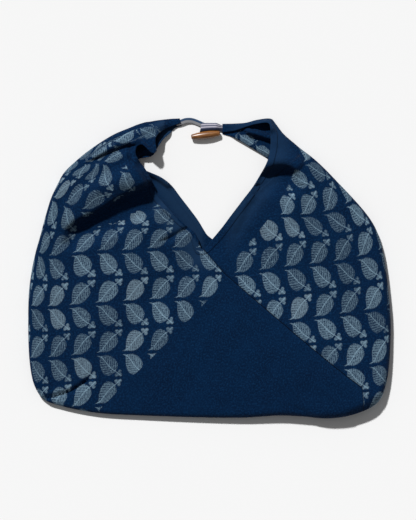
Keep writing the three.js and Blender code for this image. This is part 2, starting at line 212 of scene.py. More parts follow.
RIGHT_PINS = [
    (3, -2, 117.0, 151.1), (4, -2, 146.5, 160.7),
    (2.87, -1.5, 126.2, 116.6), (3.87, -1.5, 160.9, 120.0), (4.87, -1.5, 187.6, 134.5),
    (2, -1, 110.7, 79.8), (3, -1, 140.7, 79.8), (4, -1, 175.9, 83.7), (5, -1, 210.8, 96.1),
    (0.87, -0.5, 67.9, 31.8), (2.87, -0.5, 144.2, 43.6), (4.87, -0.5, 216.5, 53.2),
    (5.87, -0.5, 246.6, 64.3),
    (0, 0, 39.1, -10.7), (3, 0, 154.4, 3.4), (6, 0, 263.7, 24.6),
    (1.87, 0.5, 113.0, -43.7), (5.87, 0.5, 264.1, -20.5),
    (2, 1, 123.2, -83.5), (6, 1, 276.7, -61.2),
    (2.87, 1.5, 159.7, -117.8), (5.87, 1.5, 275.6, -102.6),
    (4, 2, 207.7, -154.7), (5, 2, 247.2, -151.4), (4.87, 2.5, 241.3, -189.9),
]
# Single leaves where the folded cloth shows another part of the print, on the left horn's roll
# and on the right horn's turned strip: tip and base in millimetres
ROLL_LEAVES = [
    ((-192, 174), (-159, 190)),
    ((-151, 197), (-117, 212)),
    ((-108, 219), (-84, 203)),
]
STRAP_LEAVES = [((47, 209), (67, 191)), ((72, 192), (94, 174))]
# Real size in millimetres of one column and of one row of the print, and its diagonal: one row
# is as high as this many columns are wide
COLUMN = 38.4
ROW = 78.0
DIAGONAL = ROW / COLUMN
# The printed squares are bounded by diagonals: column plus, or less, DIAGONAL times row
LEFT_LOWER_BOUND = 7.48
LEFT_MOUTH_BOUND = 5.42
RIGHT_MOUTH_BOUND = -0.52
# The squares' far sides, round on the back, by the same measure
BACK_BOUND = 15.5
# Where the side folds lie, about which the back's print mirrors the front's
LEFT_FOLD_X = -279.0
RIGHT_FOLD_X = 278.0
# How many points a curve is drawn with, for each point of its path
FOLD_FINENESS = 8
LIP_FINENESS = 10
# Shares of a lip's path over which it rises from nothing and sinks again
LIP_STARTS = (0, 0.2)
LIP_ENDS = (0.88, 1)
# Ripples of the front panel in millimetres: seed, longest and shortest wave, and height
RIPPLES = [(11, 110, 26, 1.1), (12, 34, 14, 0.32)]
RIPPLE_WAVES = 14
# Millimetres in one unit of the print's stretch, and how freely it may miss a pin to stay
# smooth
PIN_UNIT = 100
PIN_SLACK = 0.004


def smooth(x, low=0.0, high=1.0):
    """Smooth step from 0 at low to 1 at high."""
    t = np.clip((np.asarray(x, float) - low) / (high - low), 0, 1)
    return t * t * (3 - 2 * t)


def fading(x, low, high):
    """Smooth step from 1 at low to 0 at high."""
    return 1 - smooth(x, low, high)


def through(rows, t):
    """The centripetal curve through rows, at t from 0 to 1, as the solids have it."""
    rows = np.asarray(rows, float)
    last = len(rows) - 1
    points = np.vstack([2 * rows[0] - rows[1], rows, 2 * rows[-1] - rows[-2]])
    place = np.clip(t, 0, 1) * last
    k = np.minimum(place.astype(int), last - 1)
    w = (place - k)[:, None]
    p0, p1, p2, p3 = (points[k + n] for n in range(4))
    d0, d1, d2 = (
        np.maximum(np.linalg.norm(b - a, axis=1, keepdims=True), 1e-8) ** 0.5
        for a, b in ((p0, p1), (p1, p2), (p2, p3))
    )
    m1 = ((p1 - p0) / d0 - (p2 - p0) / (d0 + d1) + (p2 - p1) / d1) * d1
    m2 = ((p2 - p1) / d1 - (p3 - p1) / (d1 + d2) + (p3 - p2) / d2) * d1
    return p1 + m1 * w + (3 * (p2 - p1) - 2 * m1 - m2) * w**2 + (2 * (p1 - p2) + m1 + m2) * w**3


def drawn(path, fineness):
    """Points along the curve through a path, fineness times as many as the path has."""
    return through(path, np.linspace(0, 1, fineness * len(path)))


def beside(path, x, y):
    """Signed distance of points from a path on the plan, positive to its left, and how far
    along it the nearest place is, from 0 to 1."""
    path = np.asarray(path, float)
    nearest = np.full(x.shape, np.inf)
    signed = np.zeros(x.shape)
    share = np.zeros(x.shape)
    count = len(path) - 1
    for k in range(count):
        (ax, ay), (bx, by) = path[k], path[k + 1]
        dx, dy = bx - ax, by - ay
        along = np.clip(((x - ax) * dx + (y - ay) * dy) / (dx * dx + dy * dy), 0, 1)
        px, py = x - ax - along * dx, y - ay - along * dy
        distance = np.hypot(px, py)
        side = np.where(dx * py - dy * px >= 0, 1.0, -1.0)
        closer = distance < nearest
        nearest = np.where(closer, distance, nearest)
        signed = np.where(closer, side * distance, signed)
        share = np.where(closer, (k + along) / count, share)
    return signed, share


def fold_heights(folds, x, y):
    """Height that the folds add at points of the plan."""
    total = np.zeros(x.shape)
    for rise, left, right, sharp, path in folds:
        curve = drawn(path, FOLD_FINENESS) if len(path) > 2 else path
        signed, _ = beside(curve, x, y)
        t = np.clip(np.abs(signed) / np.where(signed > 0, left, right), 0, 1)
        soft, tent = (1 - t * t) ** 2, (1 - t) ** 2
        total += rise * ((1 - sharp) * soft + sharp * tent)
    return total


def lip_heights(lips, x, y):
    """Height that the lips add: up to the left of each path, and down to its right."""
    total = np.zeros(x.shape)
    for drop, reach, narrow, path in lips:
        signed, share = beside(drawn(path, LIP_FINENESS), x, y)
        away = np.abs(signed)
        shape = (1 - np.clip(away / reach, 0, 1)) ** 2 * (1 - np.exp(-away / narrow))
        taper = smooth(share, *LIP_STARTS) * fading(share, *LIP_ENDS)
        total += drop * np.sign(signed) * shape * taper
    return total


def ripples(x, y, seed, longest, shortest, height):
    """Soft unevenness of lying cloth: a few crossing waves of chance direction."""
    chance = np.random.default_rng(seed)
    total = np.zeros(x.shape)
    for _ in range(RIPPLE_WAVES):
        length = shortest * (longest / shortest) ** chance.random()
        turn, start = chance.random(2) * 2 * math.pi
        total += (length / longest) * np.sin(
            2 * math.pi * (x * math.cos(turn) + y * math.sin(turn)) / length + start
        )
    return height * total / math.sqrt(RIPPLE_WAVES)


def stretched(pins):
    """The print's columns and rows as a function of the place on a panel: the smoothest
    stretch of the plane that puts each pin where it lies."""
    pins = np.asarray(pins, float)
    target, at = pins[:, :2], pins[:, 2:] / PIN_UNIT

    def bend(a, b):
        r2 = ((a[:, None, :] - b[None, :, :]) ** 2).sum(-1)
        return 0.5 * r2 * np.log(np.maximum(r2, 1e-12))

    def flat(spots):
        return np.hstack([np.ones((len(spots), 1)), spots])

    n = len(pins)
    system = np.zeros((n + 3, n + 3))
    system[:n, :n] = bend(at, at) + PIN_SLACK * np.eye(n)
    system[:n, n:] = flat(at)
    system[n:, :n] = flat(at).T
    weights = np.linalg.solve(system, np.vstack([target, np.zeros((3, 2))]))

    def places(x, y):
        spots = np.stack([x.ravel(), y.ravel()], 1) / PIN_UNIT
        out = bend(spots, at) @ weights[:n] + flat(spots) @ weights[n:]
        return out.reshape(x.shape + (2,))

    return places


def eased(count, first, ease):
    """A row of evenly counted shares that crowd a little towards both ends."""
    k = np.arange(first, first + count)[None, :] / count
    return k - ease * np.sin(2 * math.pi * k) / (2 * math.pi)


def between(start, end, s):
    """x and y at the shares s of the way from one line of points to another."""
    return [start[:, c:c + 1] + (end[:, c:c + 1] - start[:, c:c + 1]) * s for c in (0, 1)]


# Mesh making

def placed(name, data):
    """A new object at the origin of the scene."""
    piece = bpy.data.objects.new(name, data)
    bpy.context.scene.collection.objects.link(piece)
    return piece


def shade_smooth(mesh):
    """Shades a whole mesh as one soft surface."""
    mesh.polygons.foreach_set("use_smooth", np.full(len(mesh.polygons), True))


def mesh_piece(name, points, faces, materials, face_materials=None, attributes=()):
    """A mesh object at the origin from points in millimetres."""
    mesh = bpy.data.meshes.new(name)
    mesh.from_pydata((np.asarray(points) * MM).tolist(), [], faces)
    for material in materials:
        mesh.materials.append(material)
    if face_materials is not None:
        mesh.polygons.foreach_set("material_index", np.asarray(face_materials, np.int32))
    shade_smooth(mesh)
    for label, values in attributes:
        values = np.asarray(values, np.float32)
        kind, key = ("FLOAT", "value") if values.ndim == 1 else ("FLOAT_VECTOR", "vector")
        mesh.attributes.new(label, kind, "POINT").data.foreach_set(key, values.ravel())
    mesh.update()
    return placed(name, mesh)


def directions(grid, axis):
    """Direction of each line of points, midway between the steps that meet at a point."""
    steps = np.diff(grid, axis=axis)
    steps /= np.maximum(np.linalg.norm(steps, axis=2, keepdims=True), 1e-9)
    first, final = np.take(steps, [0], axis), np.take(steps, [-1], axis)
    return np.concatenate([first, steps], axis) + np.concatenate([steps, final], axis)


def rounded_corners(grid, times, share=1.0):
    """The grid with softer corners along its columns; its two rims stay. Share is how much of
    each step a column takes."""
    grid = grid.copy()
    for _ in range(times):
        grid[:, 1:-1] += share * (0.25 * grid[:, :-2] - 0.5 * grid[:, 1:-1] + 0.25 * grid[:, 2:])
    return grid


def sheet_layers(grid, outer, inner):
    """The outer and the inner surface of a sheet round its middle grid, moved along the
    normals by the two amounts."""
    normal = np.cross(directions(grid, 1), directions(grid, 0))
    normal /= np.maximum(np.linalg.norm(normal, axis=2, keepdims=True), 1e-9)
    return grid + normal * outer[..., None], grid - normal * inner[..., None]


def rim_line(rim, next_line, out):
    """Points a little way out past a rim, which round it."""
    step = rim - next_line
    return rim + step * (out / np.maximum(np.linalg.norm(step, axis=1, keepdims=True), 1e-6))


def closed_sheet(grid, outer, inner, round_rim):
    """Points and faces of a closed sheet with rounded long rims. Faces come as lists for the
    outer side, the inner side and the edges. Each point also has its row and column in the
    grid, from which attributes are read."""
    m, n = grid.shape[:2]
    over, under = sheet_layers(grid, outer, inner)
    first = rim_line(grid[:, 0], grid[:, 1], round_rim)
    final = rim_line(grid[:, -1], grid[:, -2], round_rim)
    points = np.concatenate([over.reshape(-1, 3), under.reshape(-1, 3), first, final])
    top = np.arange(m * n).reshape(m, n)
    low = top + m * n
    start = 2 * m * n + np.arange(m)
    end = start + m

    def quads(a, b, c, d):
        return np.stack([a.ravel(), b.ravel(), c.ravel(), d.ravel()], 1).tolist()

    outside = quads(top[:-1, :-1], top[:-1, 1:], top[1:, 1:], top[1:, :-1])
    inside = quads(low[:-1, :-1], low[1:, :-1], low[1:, 1:], low[:-1, 1:])
    edges = []
    for a, b in (
        (start, top[:, 0]), (low[:, 0], start), (top[:, -1], end), (end, low[:, -1]),
        (top[0], low[0]), (low[-1], top[-1]),
    ):
        edges += quads(a[:-1], b[:-1], b[1:], a[1:])
    corners = (
        (top[0, 0], start[0], low[0, 0]), (low[-1, 0], start[-1], top[-1, 0]),
        (low[0, -1], end[0], top[0, -1]), (top[-1, -1], end[-1], low[-1, -1]),
    )
    edges += [[int(index) for index in corner] for corner in corners]
    rows, columns = np.divmod(np.arange(m * n), n)
    row_of = np.concatenate([rows, rows, np.arange(m), np.arange(m)])
    column_of = np.concatenate([columns, columns, np.zeros(m, int), np.full(m, n - 1)])
    return points, outside, inside, edges, row_of, column_of


# The bag's cloth

class ClothGrid:
    """The middle surface of the bag's cloth as a fine grid, with what its print and hems need.
    Rows run from the left horn's tip to the right one's, columns from the front rim round the
    outline's fold to the back rim."""

    SECTION_COUNT = 452
    # Steps in which the lines of the table are measured, and how much the two rims' lengths
    # count beside the outline's when the sections are spread
    MEASURING_STEPS = 6000
    FRONT_RIM_WEIGHT = 0.75
    BACK_RIM_WEIGHT = 0.6
    # Columns of the hem in millimetres from the rim, and the most of a narrow panel they take
    HEM_DISTANCES = (0, 1.0, 2.6, 5.4, 8.6, 10.2, 11.4, 13.6)
    HEM_SHARE = 0.45
    FRONT_COLUMNS = 52
    FRONT_EASE = 0.22
    FOLD_COLUMNS = 9
    BACK_COLUMNS = 20
    BACK_EASE = 0.3
    # Between which shares of the way from the front rim to the outline's fold each relief ends,
    # and where ripples start; on the back, where folds start beside the outline's fold
    FOLDS_END = (0.72, 1)
    LIPS_END = (0.985, 1)
    RIPPLES_START = (0, 0.12)
    RIPPLES_END = (0.9, 1)
    SEAM_END = (0.97, 1)
    SUPPORT_END = (0.8, 1)
    BACK_FOLDS_START = (0, 0.3)
    # Widths of front panel in millimetres between which ripples grow from none to full
    RIPPLED_WIDTH = (60, 160)
    # The front layer's middle lies at least this far above the back layer's, and eases into it
    LAYER_GAP = 2.6
    LAYER_SOFTNESS = 1.6
    # Steps that round the corner where a narrow panel meets the outline's fold, how many
    # steps' worth the fold and the back take, and the widths of a narrow and a wide panel
    NARROW_ROUNDING = 80
    BACK_ROUNDING = 10
    NARROW_WIDTH = (8, 34)
    # The strap's pleats stay sharp: from how many columns into the back, and from which x on
    PLEAT_COLUMNS = 5
    PLEATS_FROM_X = (36, 52)
    # Seam of the front in millimetres: the shares of it over which it rises, its groove's depth
    # and half width, its lap's height and slopes, and its pucker's height, reach and number
    SEAM_STARTS = (0.03, 0.09)
    GROOVE = (1.3, 1.6)
    LAP_HEIGHT = 0.5
    LAP_RISES = (-0.5, 2.5)
    LAP_SINKS = (4, 16)
    PUCKER = (0.28, 7, 31)
    # Print that each column of the outline's fold takes up, in millimetres
    FOLD_STEP = 1.57
    # Single leaves lie left of and above the one place, and right of and above the other
    ROLL_CORNER = (-70, 140)
    STRAP_CORNER = (25, 165)
    # Painted shade: the deep valley is left unprinted over this width below the billow's lip, more
    # further right, and a little above the lip, so that it shows as dark as its shadow
    SHADE_UNPRINTED_WIDTH = 24
    SHADE_UNPRINTED_MORE = 7.5
    SHADE_UNPRINTED_MORE_X = (-160, -148)
    SHADE_UNPRINTED_ABOVE = 3
    SHADE_UNPRINTED_X = (-206, -72)
    # Wear of the dye: distances from the rim, where along the mouth it starts, its share and
    # start on the right panel, and where it ends on the back one
    WORN_WIDTH = (14, 44)
    WORN_FROM_X = (-100, -72)
    RIGHT_WEAR = 0.7
    RIGHT_WORN_FROM_X = (16, 44)
    BACK_WORN_TO_X = (-16, -4)
    # Depths inside the printed field that show no leaf, and a whole one
    NO_PRINT = -1
    FULL_PRINT = 9.0
    # A single leaf's room along and across it, and inside its cell, in the print's units
    LEAF_ROOM = (-1, 32.7)
    LEAF_HALF_ROOM = 10
    CELL_ROOM = (-0.07, 0.97)

    def __init__(self, sizes):
        self.lying = sizes.lying / MM
        self.hem = sizes.hem / MM
        self.front_end = len(self.HEM_DISTANCES) + self.FRONT_COLUMNS
        self.back_start = self.front_end + self.FOLD_COLUMNS - 1
        self.spread_sections()
        self.lay_columns()
        self.x, self.y = self.points[..., 0], self.points[..., 1]
        column = np.arange(self.points.shape[1])[None, :]
        self.on_front, self.on_back = column < self.front_end, column >= self.back_start
        self.hem_distance = self.distance_from_rims()
        self.place_print(column)
        self.follow_seams()
        self.place_single_leaves()
        # Painted shade: the deep valley is left without print
        self.unprint_shaded_valley()
        self.wear_dye()

    def spread_sections(self):
        """Places of the sections, about evenly spaced over outline and rims."""
        fine = np.linspace(0, 1, self.MEASURING_STEPS)
        runs = [through(table, fine) for table in (OUTLINE, FRONT_RIM, BACK_RIM)]
        outline, front, back = (np.linalg.norm(np.diff(run, axis=0), axis=1) for run in runs)
        pace = np.maximum.reduce([outline, self.FRONT_RIM_WEIGHT * front, self.BACK_RIM_WEIGHT * back])
        length = np.concatenate([[0], np.cumsum(pace)])
        self.t = np.interp(np.linspace(0, length[-1], self.SECTION_COUNT), length, fine)

    def lay_columns(self):
        """Lays the front panel, the fold along the outline and the back panel."""
        last = len(SECTIONS) - 1
        front, edge, back = (through(table, self.t) for table in (FRONT_RIM, OUTLINE, BACK_RIM))
        ahead = through(OUTLINE, self.t + 1e-4)[:, :2] - through(OUTLINE, self.t - 1e-4)[:, :2]
        ahead /= np.linalg.norm(ahead, axis=1, keepdims=True)
        outward = np.stack([ahead[:, 1], -ahead[:, 0]], 1)
        radius = edge[:, 2:3]
        puff = np.interp(self.t * last, np.arange(last + 1), PUFF)[:, None]
        fold = edge[:, :2] - radius * outward
        self.front_width = np.linalg.norm(fold - front[:, :2], axis=1, keepdims=True)
        panels = (
            self.front_panel(front, fold, radius, puff),
            self.outline_fold(fold, radius, outward),
            self.back_panel(back, fold),
        )
        self.points = np.concatenate(panels, 1)
        self.round_narrow_panels(fold[:, 0:1])

    def hem_shares(self, width):
        """The hem's columns as shares of a panel's width, closer together on a narrow panel."""
        closer = np.minimum(1, self.HEM_SHARE * width / self.HEM_DISTANCES[-1])
        return np.array(self.HEM_DISTANCES)[None, :] * closer / width

    def front_panel(self, front, fold, radius, puff):
        """The front layer, from its rim to the outline's fold."""
        hem = self.hem_shares(self.front_width)
        start = hem[:, -1:]
        s = np.hstack([hem, start + (1 - start) * eased(self.FRONT_COLUMNS, 1, self.FRONT_EASE)])
        x, y = between(front, fold, s)
        level = front[:, 2:3] + (self.lying + 2 * radius - front[:, 2:3]) * s
        fade = fading(s, *self.FOLDS_END)
        z = level + 4 * puff * s * (1 - s) + fade * fold_heights(FRONT_FOLDS, x, y)
        z += fade * lip_heights(FRONT_LIPS, x, y) + fold_heights(EDGE_CREASES, x, y)
        z += lip_heights(EDGE_LIPS, x, y) * fading(s, *self.LIPS_END)
        rippled = smooth(s, *self.RIPPLES_START) * fading(s, *self.RIPPLES_END)
        rippled = rippled * smooth(self.front_width, *self.RIPPLED_WIDTH)
        for row in RIPPLES:
            z += rippled * ripples(x, y, *row)
        z += self.seam_relief(x, y) * fading(s, *self.SEAM_END)
        above = z - (self.lying + self.LAYER_GAP)
        held_up = 0.5 * (np.sqrt(above**2 + self.LAYER_SOFTNESS**2) - above)
        z += held_up * fading(s, *self.SUPPORT_END)
        return np.stack([x, y, z], 2)

    def outline_fold(self, fold, radius, outward):
        """The fold along the outline, from the front layer round to the back one."""
        k = np.arange(1, self.FOLD_COLUMNS)[None, :] / self.FOLD_COLUMNS
        angle = math.pi * (0.5 - k)
        out = radius * np.cos(angle)
        x, y = (fold[:, c:c + 1] + out * outward[:, c:c + 1] for c in (0, 1))
        z = self.lying + radius + radius * np.sin(angle)
        z += np.maximum(np.sin(angle), 0) * fold_heights(EDGE_CREASES, x, y)
        return np.stack([x, y, z], 2)

    def back_panel(self, back, fold):
        """The back layer, from the outline's fold to its rim."""
        width = np.linalg.norm(fold - back[:, :2], axis=1, keepdims=True)
        hem = 1 - self.hem_shares(width)[:, ::-1]
        s = np.hstack([hem[:, :1] * eased(self.BACK_COLUMNS, 0, self.BACK_EASE), hem])
        x, y = between(fold, back, s)
        lift = np.maximum(back[:, 2:3] - self.lying, 0) * s * s
        z = lift + smooth(s, *self.BACK_FOLDS_START) * fold_heights(BACK_FOLDS, x, y)
        return np.stack([x, y, self.lying + np.maximum(z, 0)], 2)

    def round_narrow_panels(self, fold_x):
        """Rounds the corner where a narrow front panel meets the fold, but no pleat."""
        column = np.arange(self.points.shape[1])[None, :]
        pleated = smooth(column, self.back_start, self.back_start + self.PLEAT_COLUMNS)
        pleated = pleated * smooth(fold_x, *self.PLEATS_FROM_X)
        narrow = (fading(self.front_width, *self.NARROW_WIDTH) * (1 - pleated))[..., None]
        share = np.where(column[:, 1:-1, None] < self.front_end, 1.0,
                         self.BACK_ROUNDING / self.NARROW_ROUNDING)
        rounded = rounded_corners(self.points, self.NARROW_ROUNDING, share)
        self.points += narrow * (rounded - self.points)

    def seam_relief(self, x, y):
        """The front seam's groove, its upper lap and the pucker beside it."""
        signed, share = beside(FRONT_SEAM, x, y)
        depth, half = self.GROOVE
        groove = -depth * np.exp(-(signed / half) ** 2)
        lap = self.LAP_HEIGHT * smooth(signed, *self.LAP_RISES) * fading(signed, *self.LAP_SINKS)
        height, reach, number = self.PUCKER
        pucker = height * np.sin(share * 2 * math.pi * number) * np.exp(-(signed / reach) ** 2)
        return smooth(share, *self.SEAM_STARTS) * (groove + lap + pucker)

    def distance_from_rims(self):
        """Millimetres from the nearest rim along each section."""
        steps = np.linalg.norm(np.diff(self.points, axis=1), axis=2)
        run = np.concatenate([np.zeros((len(steps), 1)), np.cumsum(steps, axis=1)], 1)
        return np.minimum(run, run[:, -1:] - run)

    def place_print(self, column):
        """The print's column, row and depth inside the printed field, for both panels' cloth."""
        beyond = self.FOLD_STEP * np.minimum(column - self.front_end + 1, self.FOLD_COLUMNS)
        places = []
        for pins, mirror, way in ((LEFT_PINS, LEFT_FOLD_X, -1), (RIGHT_PINS, RIGHT_FOLD_X, 1)):
            on_fold = np.where(self.on_front, self.x, self.x + way * beyond)
            unfolded = np.where(self.on_back, 2 * mirror - self.x, on_fold)
            places.append(stretched(pins)(unfolded, self.y))
        left, right = places
        left_sum, right_sum = (place[..., 0] + DIAGONAL * place[..., 1] for place in places)
        left_less = left[..., 0] - DIAGONAL * left[..., 1]
        unit = COLUMN / math.sqrt(2)
        left_depth = unit * np.minimum.reduce(
            [LEFT_LOWER_BOUND - left_sum, LEFT_MOUTH_BOUND - left_less, left_sum + BACK_BOUND])
        right_depth = unit * np.minimum(right_sum - RIGHT_MOUTH_BOUND, BACK_BOUND - right_sum)
        self.left = np.concatenate([left, left_depth[..., None]], 2)
        self.right = np.concatenate([right, right_depth[..., None]], 2)

    def follow_seams(self):
        """The side of the seam that each point lies on, and 1 beside the seams themselves."""
        front_side, front_share = beside(FRONT_SEAM, self.x, self.y)
        back_side, back_share = beside(BACK_SEAM, self.x, self.y)
        self.seam = np.where(self.on_back, -back_side, front_side)
        share = np.where(self.on_back, back_share, front_share)
        self.sewn = np.where((share > 0) & (share < 1), 1.0, 0.0)

    def place_single_leaves(self):
        """The few leaves of the left horn's roll and of the right horn's turned strip."""
        above_crease = beside(drawn(ROLL_LIP[-1], LIP_FINENESS), self.x, self.y)[0] > 0
        roll = (self.x < self.ROLL_CORNER[0]) & (self.y > self.ROLL_CORNER[1])
        roll = roll & self.on_front & above_crease
        self.single_leaves(self.left, ROLL_LEAVES, roll)
        self.seam = np.where(roll, -np.abs(self.seam), self.seam)
        strap = self.on_back & (self.x > self.STRAP_CORNER[0]) & (self.y > self.STRAP_CORNER[1])
        self.single_leaves(self.right, STRAP_LEAVES, strap)
        self.seam = np.where(strap, np.abs(self.seam), self.seam)

    def unprint_shaded_valley(self):
        """Painted shade: no leaf is printed in the deep valley, so that it shows dark like its shadow."""
        from_lip = beside(drawn(BILLOW_LIP[-1], LIP_FINENESS), self.x, self.y)[0]
        shade_width = self.SHADE_UNPRINTED_WIDTH + self.SHADE_UNPRINTED_MORE * smooth(self.x, *self.SHADE_UNPRINTED_MORE_X)
        shade_unprinted = ~self.on_back & (from_lip > -shade_width) & (from_lip < self.SHADE_UNPRINTED_ABOVE)
        shade_unprinted = shade_unprinted & (self.x > self.SHADE_UNPRINTED_X[0]) & (self.x < self.SHADE_UNPRINTED_X[1])
        self.left[shade_unprinted, 2] = self.NO_PRINT

    def wear_dye(self):
        """Hands and light have worn the dye along the mouth, most on the left panel."""
        near_mouth = fading(self.hem_distance, *self.WORN_WIDTH) * smooth(self.x, *self.WORN_FROM_X)
        right_wear = self.RIGHT_WEAR * smooth(self.x, *self.RIGHT_WORN_FROM_X)
        front_wear = np.where(self.seam > 0, right_wear, 1.0)
        back_wear = fading(self.x, *self.BACK_WORN_TO_X)
        self.worn = near_mouth * np.where(self.on_back, back_wear, front_wear)

    def single_leaves(self, places, leaves, where):
        """Puts single leaves into part of the cloth, in place of the panel's print."""
        x, y = self.x, self.y
        places[where, 2] = self.NO_PRINT
        cosine, sine = math.cos(LEAF_TURN), math.sin(LEAF_TURN)
        for number, (tip, base) in enumerate(leaves):
            axis = np.array(base, float) - tip
            length = np.linalg.norm(axis)
            scale, ahead = LEAF_LENGTH / length, axis / length
            along = ((x - tip[0]) * ahead[0] + (y - tip[1]) * ahead[1]) * scale
            across = ((y - tip[1]) * ahead[0] - (x - tip[0]) * ahead[1]) * scale
            here = where & (along > self.LEAF_ROOM[0]) & (along < self.LEAF_ROOM[1])
            here = here & (np.abs(across) < self.LEAF_HALF_ROOM)
            a = LEAF_TIP[0] + along * cosine - across * sine
            b = LEAF_TIP[1] + along * sine + across * cosine
            column, row = number + np.clip(a / CELL, *self.CELL_ROOM), b / (2 * HALF_ROW)
            place = np.stack([column, row, np.full(x.shape, self.FULL_PRINT)], 2)
            places[here] = place[here]


# Hem and stitches on the fold's and the back panel's underside may use only what is left above
# the floor
UNDERSIDE_SWELL = 0.15
STITCH_RADIUS = 0.2
# Over how much either side of its edge the hem swells, and the widths of panel, narrow to
# full, at which it has none and all of its swell
HEM_SLOPE = (-1.4, 0.6)
SWELLING_WIDTH = (4, 40)


def cloth_halves(cloth, look):
    """Outer and inner half thickness of the cloth, thicker in the hems along the rims."""
    half = look.thickness / MM / 2
    in_hem = fading(cloth.hem_distance, cloth.hem + HEM_SLOPE[0], cloth.hem + HEM_SLOPE[1])
    swell = look.hem_swell / MM * smooth(cloth.front_width, *SWELLING_WIDTH)
    outer = half + np.where(cloth.on_front, swell, np.minimum(swell, UNDERSIDE_SWELL)) * in_hem
    return outer, half + swell * in_hem


# Shader building

class Value:
    """What a node puts out. Sums and products of values are written plainly, and each adds its
    node. An index gives another output of the same node."""

    def __init__(self, nodes, node, output=0):
        self.nodes = nodes
        self.node = node
        self.output = output

    def __getitem__(self, output):
        return Value(self.nodes, self.node, output)

    def __add__(self, other):
        return self.nodes.math("ADD", self, other)

    def __sub__(self, other):
        return self.nodes.math("SUBTRACT", self, other)

    def __rsub__(self, other):
        return self.nodes.math("SUBTRACT", other, self)

    def __mul__(self, other):
        return self.nodes.math("MULTIPLY", self, other)

    def __truediv__(self, other):
        return self.nodes.math("DIVIDE", self, other)

    def __rtruediv__(self, other):
        return self.nodes.math("DIVIDE", other, self)

    def __abs__(self):
        return self.nodes.math("ABSOLUTE", self)


class Nodes:
    """Short ways to place and join the nodes of one tree."""

    # Distance between two nodes in the editor
    SPACING = 30
    # Sockets of the Mix node for each kind: the two that are mixed, and the result
    MIX_SOCKETS = {"RGBA": (6, 7, 2), "FLOAT": (2, 3, 0), "VECTOR": (4, 5, 1)}

    def __init__(self, tree):
        self.tree = tree
        self.x = 0

    def add(self, kind, settings=(), **inputs):
        """A new node. Its inputs are given by name, or by number as i0, i1 and so on."""
        node = self.tree.nodes.new(kind)
        node.location = (self.x, 0)
        self.x += self.SPACING
        for key, value in dict(settings).items():
            setattr(node, key, value)
        for key, value in inputs.items():
            self.join(value, node.inputs[int(key[1:]) if key[0] == "i" and key[1:].isdigit() else key])
        return Value(self, node)

    def join(self, value, socket):
        """Links a node's value to a socket, or sets the socket to a plain value."""
        if isinstance(value, Value):
            self.tree.links.new(value.node.outputs[value.output], socket)
        elif value is not None:
            socket.default_value = value

    def math(self, operation, *values):
        made = self.add("ShaderNodeMath", {"operation": operation})
        for value, socket in zip(values, made.node.inputs):
            self.join(value, socket)
        return made

    def least(self, a, b):
        return self.math("MINIMUM", a, b)

    def most(self, a, b):
        return self.math("MAXIMUM", a, b)

    def step(self, value, low, high):
        """Smooth step of a value from 0 at low to 1 at high; low may be the larger."""
        made = self.add("ShaderNodeMapRange", {"interpolation_type": "SMOOTHSTEP"}, Value=value)
        ends = (low, high, 0.0, 1.0) if low < high else (high, low, 1.0, 0.0)
        for socket, end in zip(made.node.inputs[1:5], ends):
            self.join(end, socket)
        return made

    def mix(self, factor, a, b, kind="RGBA", blend="MIX"):
        made = self.add("ShaderNodeMix", {"data_type": kind, "blend_type": blend})
        first, second, result = self.MIX_SOCKETS[kind]
        for value, number in ((factor, 0), (a, first), (b, second)):
            self.join(value, made.node.inputs[number])
        return made[result]

    def noise(self, vector, scale, detail=2.0, rough=0.5):
        return self.add("ShaderNodeTexNoise", Vector=vector, Scale=scale, Detail=detail, Roughness=rough)

    def number(self, name):
        """An attribute of the mesh, as one number."""
        return self.add("ShaderNodeAttribute", {"attribute_name": name})[2]

    def vector(self, name):
        """An attribute of the mesh, as a vector."""
        return self.add("ShaderNodeAttribute", {"attribute_name": name})[1]

    def place(self):
        """Object coordinates."""
        return self.add("ShaderNodeTexCoord")["Object"]

    def parts(self, vector):
        return self.add("ShaderNodeSeparateXYZ", Vector=vector)

    def scaled(self, vector, factors):
        return self.add("ShaderNodeVectorMath", {"operation": "MULTIPLY"}, i0=vector, i1=factors)

    def bump(self, height, strength, distance, normal=None):
        return self.add("ShaderNodeBump", Height=height, Strength=strength, Distance=distance,
                        Normal=normal)

    def group(self, tree, **inputs):
        return self.add("ShaderNodeGroup", {"node_tree": tree}, **inputs)

    def curve(self, value, points):
        """A value taken through the soft curve that points give."""
        made = self.add("ShaderNodeFloatCurve", Value=value)
        curve = made.node.mapping.curves[0]
        for place, spot in zip(curve.points, (points[0], points[-1])):
            place.location = spot
        for x, y in points[1:-1]:
            curve.points.new(x, y)
        made.node.mapping.update()
        return made


def group_tree(name, inputs, outputs):
    """A shader group that takes a place and more named numbers, and puts out named numbers."""
    tree = bpy.data.node_groups.new(name, "ShaderNodeTree")
    tree.interface.new_socket(name="Place", in_out="INPUT", socket_type="NodeSocketVector")
    for label, default in inputs.items():
        socket = tree.interface.new_socket(name=label, in_out="INPUT", socket_type="NodeSocketFloat")
        socket.default_value = default
    for label in outputs:
        tree.interface.new_socket(name=label, in_out="OUTPUT", socket_type="NodeSocketFloat")
    nodes = Nodes(tree)
    return tree, nodes, nodes.add("NodeGroupInput"), nodes.add("NodeGroupOutput").node.inputs


def new_material(name, **sockets):
    """A material with its Principled BSDF, whose constant sockets are set by name."""
    material = bpy.data.materials.new(name)
    material.use_nodes = True
    shader = material.node_tree.nodes["Principled BSDF"]
    for key, value in sockets.items():
        shader.inputs[key.replace("_", " ")].default_value = value
    return material, Nodes(material.node_tree), shader.inputs


def rgb(hex_text):
    """A colour as written in a style sheet, in linear light."""
    parts = [int(hex_text[k:k + 2], 16) / 255 for k in (0, 2, 4)]
    linear = [c / 12.92 if c <= 0.04045 else ((c + 0.055) / 1.055) ** 2.4 for c in parts]
    return (*linear, 1.0)


def darker(colour, share):
    return [share * c for c in colour[:3]] + [1]


